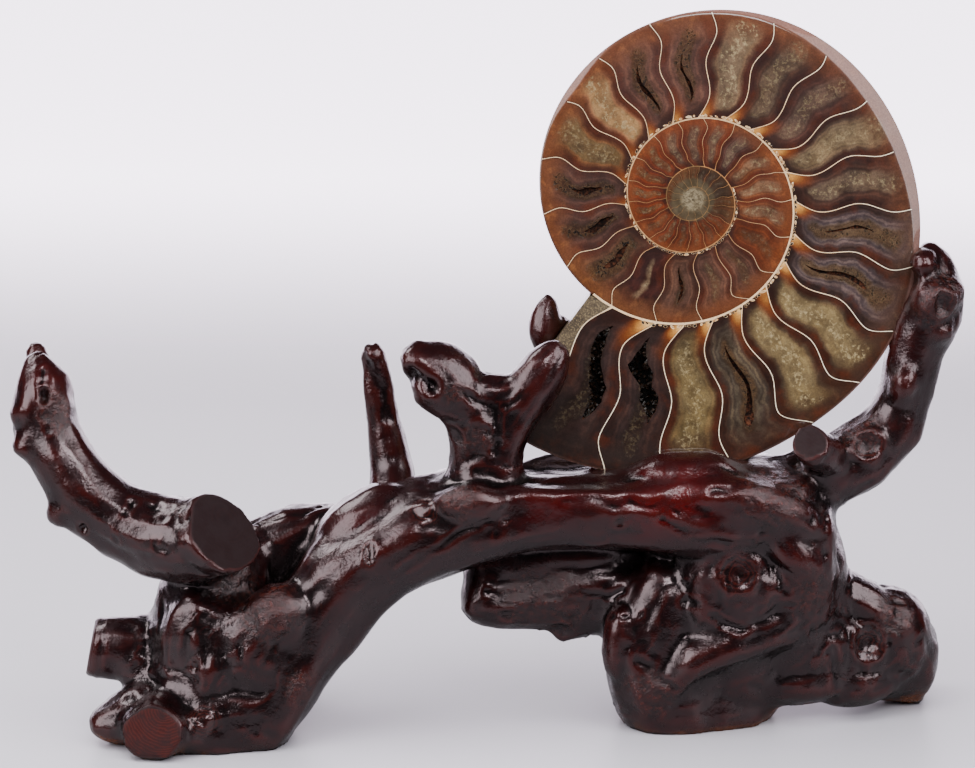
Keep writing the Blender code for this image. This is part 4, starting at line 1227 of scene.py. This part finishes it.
def polished_outside():
    """The shell's own outside: pearly browns and creams along its growth lines."""
    look = Shader("polished_shell_outside")
    turn = look.kept_four("place_in_chamber")[2]
    cloud = look.grit(0.012, 4.0, 0.6, 0.8)
    look.base = look.mix(cloud.rise(0.32, 0.68), paint(110, 62, 38), paint(186, 146, 104))
    look.coat(look.grit(0.02, 2.0).rise(0.5, 0.7, 0.6), paint(84, 66, 52))
    growth = look.maths("SINE", 620.0 * turn + 30.0 * cloud)
    look.coat(growth.rise(-0.2, 1.0, 0.25), paint(66, 38, 26))
    look.coat(look.grit(0.002).rise(0.55, 0.75, 0.4), paint(206, 180, 146))
    return look.finish(Roughness=0.35, Coat_Weight=0.8, Coat_Roughness=0.08)


def drusy_hollow():
    """Unpolished crystals that line a hollow, brown with iron, and painted darker as shade the deeper
    they lie.
    """
    look = Shader("drusy_hollow")
    coarse = look.grit(0.0012, 3.0, 0.65)
    look.base = look.mix(coarse.rise(0.42, 0.66), paint(24, 10, 6), paint(84, 46, 28))
    # Painted shade: darker the deeper the hollow.
    look.coat(look.kept("hollow").rise(0.4, 3.0), paint(6, 4, 3))
    return look.finish(Roughness=0.85, Normal=look.bump(coarse, 0.0005), Specular_IOR_Level=0.2)


for finish in (polished_calcite, shell_wall, grey_matrix, polished_outside, drusy_hollow):
    ammonite.materials.append(finish())
fossil = in_scene("ammonite_half_polished", ammonite)
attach(fossil, "root")
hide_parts("ammonite_half")

# Honey-brown calcite grew as small dogteeth on the inside of the two open hollows.
CRYSTALS_IN_A_HOLLOW = 420
CRYSTAL_SIDES = 5
CRYSTAL_LEVELS = ((-0.35, 0.7), (0.25, 1.0))     # heights and widths of its two rings
LEAST_HOLLOW = 1.2                               # millimetres deep where crystals grow
SEAT_MARGIN = 0.003                              # metres past the box of the plain crust


def dogtooth_crust(name, node, seed):
    """One crust of dogtooth crystals on the walls of one hollow."""
    corner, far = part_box(node)
    places = point_array(ammonite)
    ways = point_array(ammonite, "normal")
    depths = np.zeros(len(places), np.float32)
    ammonite.attributes["hollow"].data.foreach_get("value", depths)
    near = np.all((places > np.array(corner) - SEAT_MARGIN)
                  & (places < np.array(far) + SEAT_MARGIN), axis=1)
    seats = np.nonzero(near & (depths > LEAST_HOLLOW))[0]
    dice = np.random.default_rng(seed)
    chosen = dice.choice(seats, CRYSTALS_IN_A_HOLLOW, replace=len(seats) < CRYSTALS_IN_A_HOLLOW)
    crystals = []
    facets = []
    places = places + dice.normal(0.0, 0.0005, places.shape)
    for seat in chosen:
        width = dice.uniform(0.0003, 0.0008)
        length = width * dice.uniform(1.3, 2.1)
        way = Vector(ways[seat]) + Vector(dice.normal(0.0, 0.35, 3))
        turn = way.to_track_quat("Z", "Y")
        start = len(crystals)
        top = start + 2 * CRYSTAL_SIDES
        for level, share in CRYSTAL_LEVELS:
            for index in range(CRYSTAL_SIDES):
                angle = 2.0 * math.pi * index / CRYSTAL_SIDES
                spoke = Vector((width * share * math.cos(angle), width * share * math.sin(angle),
                                length * level))
                crystals.append(Vector(places[seat]) + turn @ spoke)
        crystals.append(Vector(places[seat]) + turn @ Vector((0.0, 0.0, length)))
        for quad in ring_quads(start, start + CRYSTAL_SIDES, CRYSTAL_SIDES):
            facets.append(quad)
            facets.append((quad[3], quad[2], top))
        facets.append(tuple(start + index for index in range(CRYSTAL_SIDES))[::-1])
    mesh = bpy.data.meshes.new(name)
    mesh.from_pydata(crystals, [], facets)
    return in_scene(name, mesh)


def honey_calcite():
    """Dark honey-brown crystal, paler in patches."""
    look = Shader("honey_calcite")
    tint = look.grit(0.0012, 3.0, 0.6)
    look.base = look.mix(look.grit(0.004).rise(0.36, 0.64), paint(10, 6, 5), paint(40, 25, 16))
    look.coat(tint.rise(0.5, 0.7, 0.5), paint(70, 48, 30))
    return look.finish(Roughness=0.4, Normal=look.bump(tint, 0.0001), Specular_IOR_Level=0.5)


crystal_look = honey_calcite()
for name, node, seed in (("first_vug_dogteeth", "first_vug_crystals", 5),
                         ("second_vug_dogteeth", "second_vug_crystals", 6)):
    crust = dogtooth_crust(name, node, seed)
    crust.data.materials.append(crystal_look)
    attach(crust, "root")
    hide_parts(node)

# The siphuncle: a row of small tubes beside the whorl inside, sawn open. Some filled
# with cream calcite, others stayed dark within a cream wall.
CELLS_START = -112.0
CELLS_END = 376.0
PALE_STRETCH = 100.0       # most cells are pale this far in from the start of each turn
LONGEST_DARK = 1.5
LOOSE_STRETCH = 200.0      # the cells stand farther apart up to here
CELL_GAP = 0.22            # millimetres from the whorl inside, beyond a cell's own width
CELL_SIDES = 20
CELL_RINGS = ((1.0, 0.0), (0.86, 1.0), (0.62, 1.0), (0.5, 0.55), (0.0, 0.5))
CELL_HEIGHT = 0.035
CELL_SINK = 0.01           # the foot of a cell lies this far under the polish


def siphuncle_mesh():
    """Small flat ovals that stand a hair proud of the polish."""
    dice = np.random.default_rng(12)
    points = []
    facets = []
    kinds = []
    angle = CELLS_START
    while angle < CELLS_END:
        inner = float(inner_radius(angle))
        length = dice.uniform(0.9, 3.0) * (0.45 + inner / 90.0)
        width = dice.uniform(0.3, 0.62) * (0.5 + inner / 90.0)
        dark = dice.random() < (0.2 if angle % 360.0 < PALE_STRETCH else 0.7)
        if dark:
            length = min(length, LONGEST_DARK)
        middle = inner + CELL_GAP + width * dice.uniform(0.7, 1.1)
        tilt = dice.normal(0.0, 0.1)
        start = len(points)
        for share, rise in CELL_RINGS:
            shade = dice.random()
            for index in range(CELL_SIDES):
                spin = 2.0 * math.pi * index / CELL_SIDES
                out = width * share * math.sin(spin) + tilt * length * share * math.cos(spin)
                turn = math.radians(angle) + length / 2.0 * share * math.cos(spin) / middle
                points.append(on_stand((middle + out) * math.cos(turn), (middle + out) * math.sin(turn),
                                       CELL_SINK - CELL_HEIGHT * rise))
                kinds.append((share, float(dark), shade))
        for ring in range(len(CELL_RINGS) - 1):
            near = start + ring * CELL_SIDES
            facets += ring_quads(near, near + CELL_SIDES, CELL_SIDES)
        widest = 1.7 if angle < LOOSE_STRETCH else 1.25
        angle += math.degrees(length / middle) * dice.uniform(1.0, widest)
    mesh = bpy.data.meshes.new("siphuncle_cells")
    mesh.from_pydata(points, [], facets)
    mesh.shade_smooth()
    store(mesh, "cell", np.array(kinds))
    weld(mesh, 0.0000005)
    return mesh


def siphuncle_calcite():
    """Cream calcite, milky at its middle, or a dark tube within a cream wall."""
    look = Shader("siphuncle_calcite")
    share, dark, shade, _ = look.kept_four("cell")
    fine = look.grit(0.0009, 3.0, 0.6)
    look.base = look.mix(fine.rise(0.38, 0.62), paint(176, 128, 80), paint(244, 218, 176))
    look.coat(shade.rise(0.3, 1.0, 0.5), paint(190, 136, 84))
    look.coat(share.rise(0.88, 0.74) * dark, paint(20, 10, 7))
    look.coat(0.6 * share.rise(0.7, 0.3) * (1.0 - dark), paint(150, 100, 60))
    return look.finish(Roughness=0.4, Specular_IOR_Level=0.25, Coat_Weight=1.0,
                       Coat_Roughness=0.05, Coat_IOR=1.5)


siphuncle = in_scene("siphuncle_cells", siphuncle_mesh())
siphuncle.data.materials.append(siphuncle_calcite())
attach(siphuncle, "root")


# -------------------------------------------------------------------- the floor
# A pale table top of matt board that curves up far behind the stand, where it glows with
# painted light. It isn't part of the object.

FLOOR_HALF_WIDTH = 3.5
FLOOR_FRONT = -2.6
CURVE_START = 1.5
CURVE_RADIUS = 1.4
FLAT_STEPS = 12
CURVE_STEPS = 28
BOARD_DROP = 0.0002        # the board lies this far under the feet


def swept_board():
    """The board's mesh: flat in front, then a quarter turn up."""
    length = CURVE_START - FLOOR_FRONT
    rows = [(FLOOR_FRONT + step * length / FLAT_STEPS, 0.0) for step in range(FLAT_STEPS + 1)]
    for step in range(1, CURVE_STEPS + 1):
        turn = step / CURVE_STEPS * math.pi / 2.0
        rows.append((CURVE_START + CURVE_RADIUS * math.sin(turn), CURVE_RADIUS * (1.0 - math.cos(turn))))
    points = [(x, y, z - BOARD_DROP) for y, z in rows for x in (-FLOOR_HALF_WIDTH, FLOOR_HALF_WIDTH)]
    quads = [(2 * row, 2 * row + 1, 2 * row + 3, 2 * row + 2) for row in range(len(rows) - 1)]
    mesh = bpy.data.meshes.new("studio_floor")
    mesh.from_pydata(points, [], quads)
    mesh.shade_smooth()
    return mesh


def pale_board():
    """Matt white board with a faint mottle that glows with painted light behind and away from the
    middle, dimmer in reflections.
    """
    look = Shader("pale_board")
    across, away, _ = (Number(look, part) for part in look.node("SeparateXYZ", look.place).outputs)
    seen = Number(look, look.node("LightPath").outputs["Is Camera Ray"])
    board = look.mix(look.grit(0.35, 2.0), (0.525, 0.5, 0.56), (0.55, 0.525, 0.585))
    # Painted shade: the board looks dim in reflections and bounced light, darkest in front.
    unlit = look.mix(away.rise(-0.5, -0.2), (0.03, 0.03, 0.03), (0.22, 0.215, 0.23))
    look.base = look.mix(seen, unlit, board)
    ahead = look.maths("MINIMUM", away, 0.0)
    distance = look.maths("SQRT", ahead * ahead + across * across)
    # Painted light: the board glows brighter behind and away from the middle.
    glow = away.rise(0.52, 1.55, 3.9) + distance.rise(0.7, 2.2, 1.35) * seen
    return look.finish(Roughness=0.45, Emission_Color=(1.0, 0.89, 1.04), Emission_Strength=glow)


floor = in_scene("studio_floor", swept_board())
floor.data.materials.append(pale_board())


# ------------------------------------------------------------------ the lighting
# Softboxes overhead and at both sides in front; the room beyond them is dim, so that the
# polish and the lacquer stay deep between their highlights.

ROOM_LIGHT = 0.05          # how brightly the room lights the object
ROOM_SEEN = 1.6            # and how bright it looks past the edges of the board
LAMP_AIM = Vector((0.0, 0.0, 0.12))
room = bpy.data.worlds.new("dim_room")
bpy.context.scene.world = room
room.use_nodes = True
backdrop = room.node_tree.nodes["Background"]
backdrop.inputs["Color"].default_value = (0.92, 0.85, 0.96, 1.0)
seen = room.node_tree.nodes.new("ShaderNodeLightPath")
level = room.node_tree.nodes.new("ShaderNodeMapRange")
level.inputs["To Min"].default_value = ROOM_LIGHT
level.inputs["To Max"].default_value = ROOM_SEEN
room.node_tree.links.new(seen.outputs["Is Camera Ray"], level.inputs["Value"])
room.node_tree.links.new(level.outputs[0], backdrop.inputs["Strength"])


def softbox(name, place, width, height, power, mirrored=True):
    """A rectangular soft light that faces the stand, with or without a mirror image in it."""
    lamp = bpy.data.lights.new(name, "AREA")
    lamp.shape = "RECTANGLE"
    lamp.size = width
    lamp.size_y = height
    lamp.energy = power
    box = in_scene(name, lamp)
    box.visible_glossy = mirrored
    box.location = place
    box.rotation_euler = (LAMP_AIM - Vector(place)).to_track_quat("-Z", "Y").to_euler()


softbox("top_softbox", (-0.1, -0.15, 1.15), 1.3, 0.9, 23.0, mirrored=False)
softbox("left_softbox", (-0.98, -0.78, 0.78), 0.9, 1.0, 17.0)
softbox("right_softbox", (0.98, -0.72, 0.82), 0.7, 1.0, 14.0)
softbox("front_softbox", (0.22, -1.05, 0.98), 0.34, 0.3, 5.0)
softbox("rear_left_softbox", (-0.7, 0.25, 0.95), 0.5, 0.5, 6.0)


# ------------------------------------------------------------------- the camera
# It looks down a little on the stand from straight in front.

VIEW_DOWN = math.radians(12.0)
DISTANCE = 0.975
AIM_HEIGHT = 0.125
AIM_SHIFT = Vector((-0.0012, -0.0023))
FOCAL_LENGTH = 100.0
SENSOR_WIDTH = 36.0
low, high = cad_box
middle = (low.xy + high.xy) / 2.0 + AIM_SHIFT
aim = Vector((middle.x, middle.y, AIM_HEIGHT))
lens = bpy.data.cameras.new("camera")
lens.lens = FOCAL_LENGTH
lens.sensor_width = SENSOR_WIDTH
camera = in_scene("camera", lens)
camera.location = aim + DISTANCE * Vector((0.0, -math.cos(VIEW_DOWN), math.sin(VIEW_DOWN)))
camera.rotation_euler = (math.pi / 2.0 - VIEW_DOWN, 0.0, 0.0)
bpy.context.scene.camera = camera
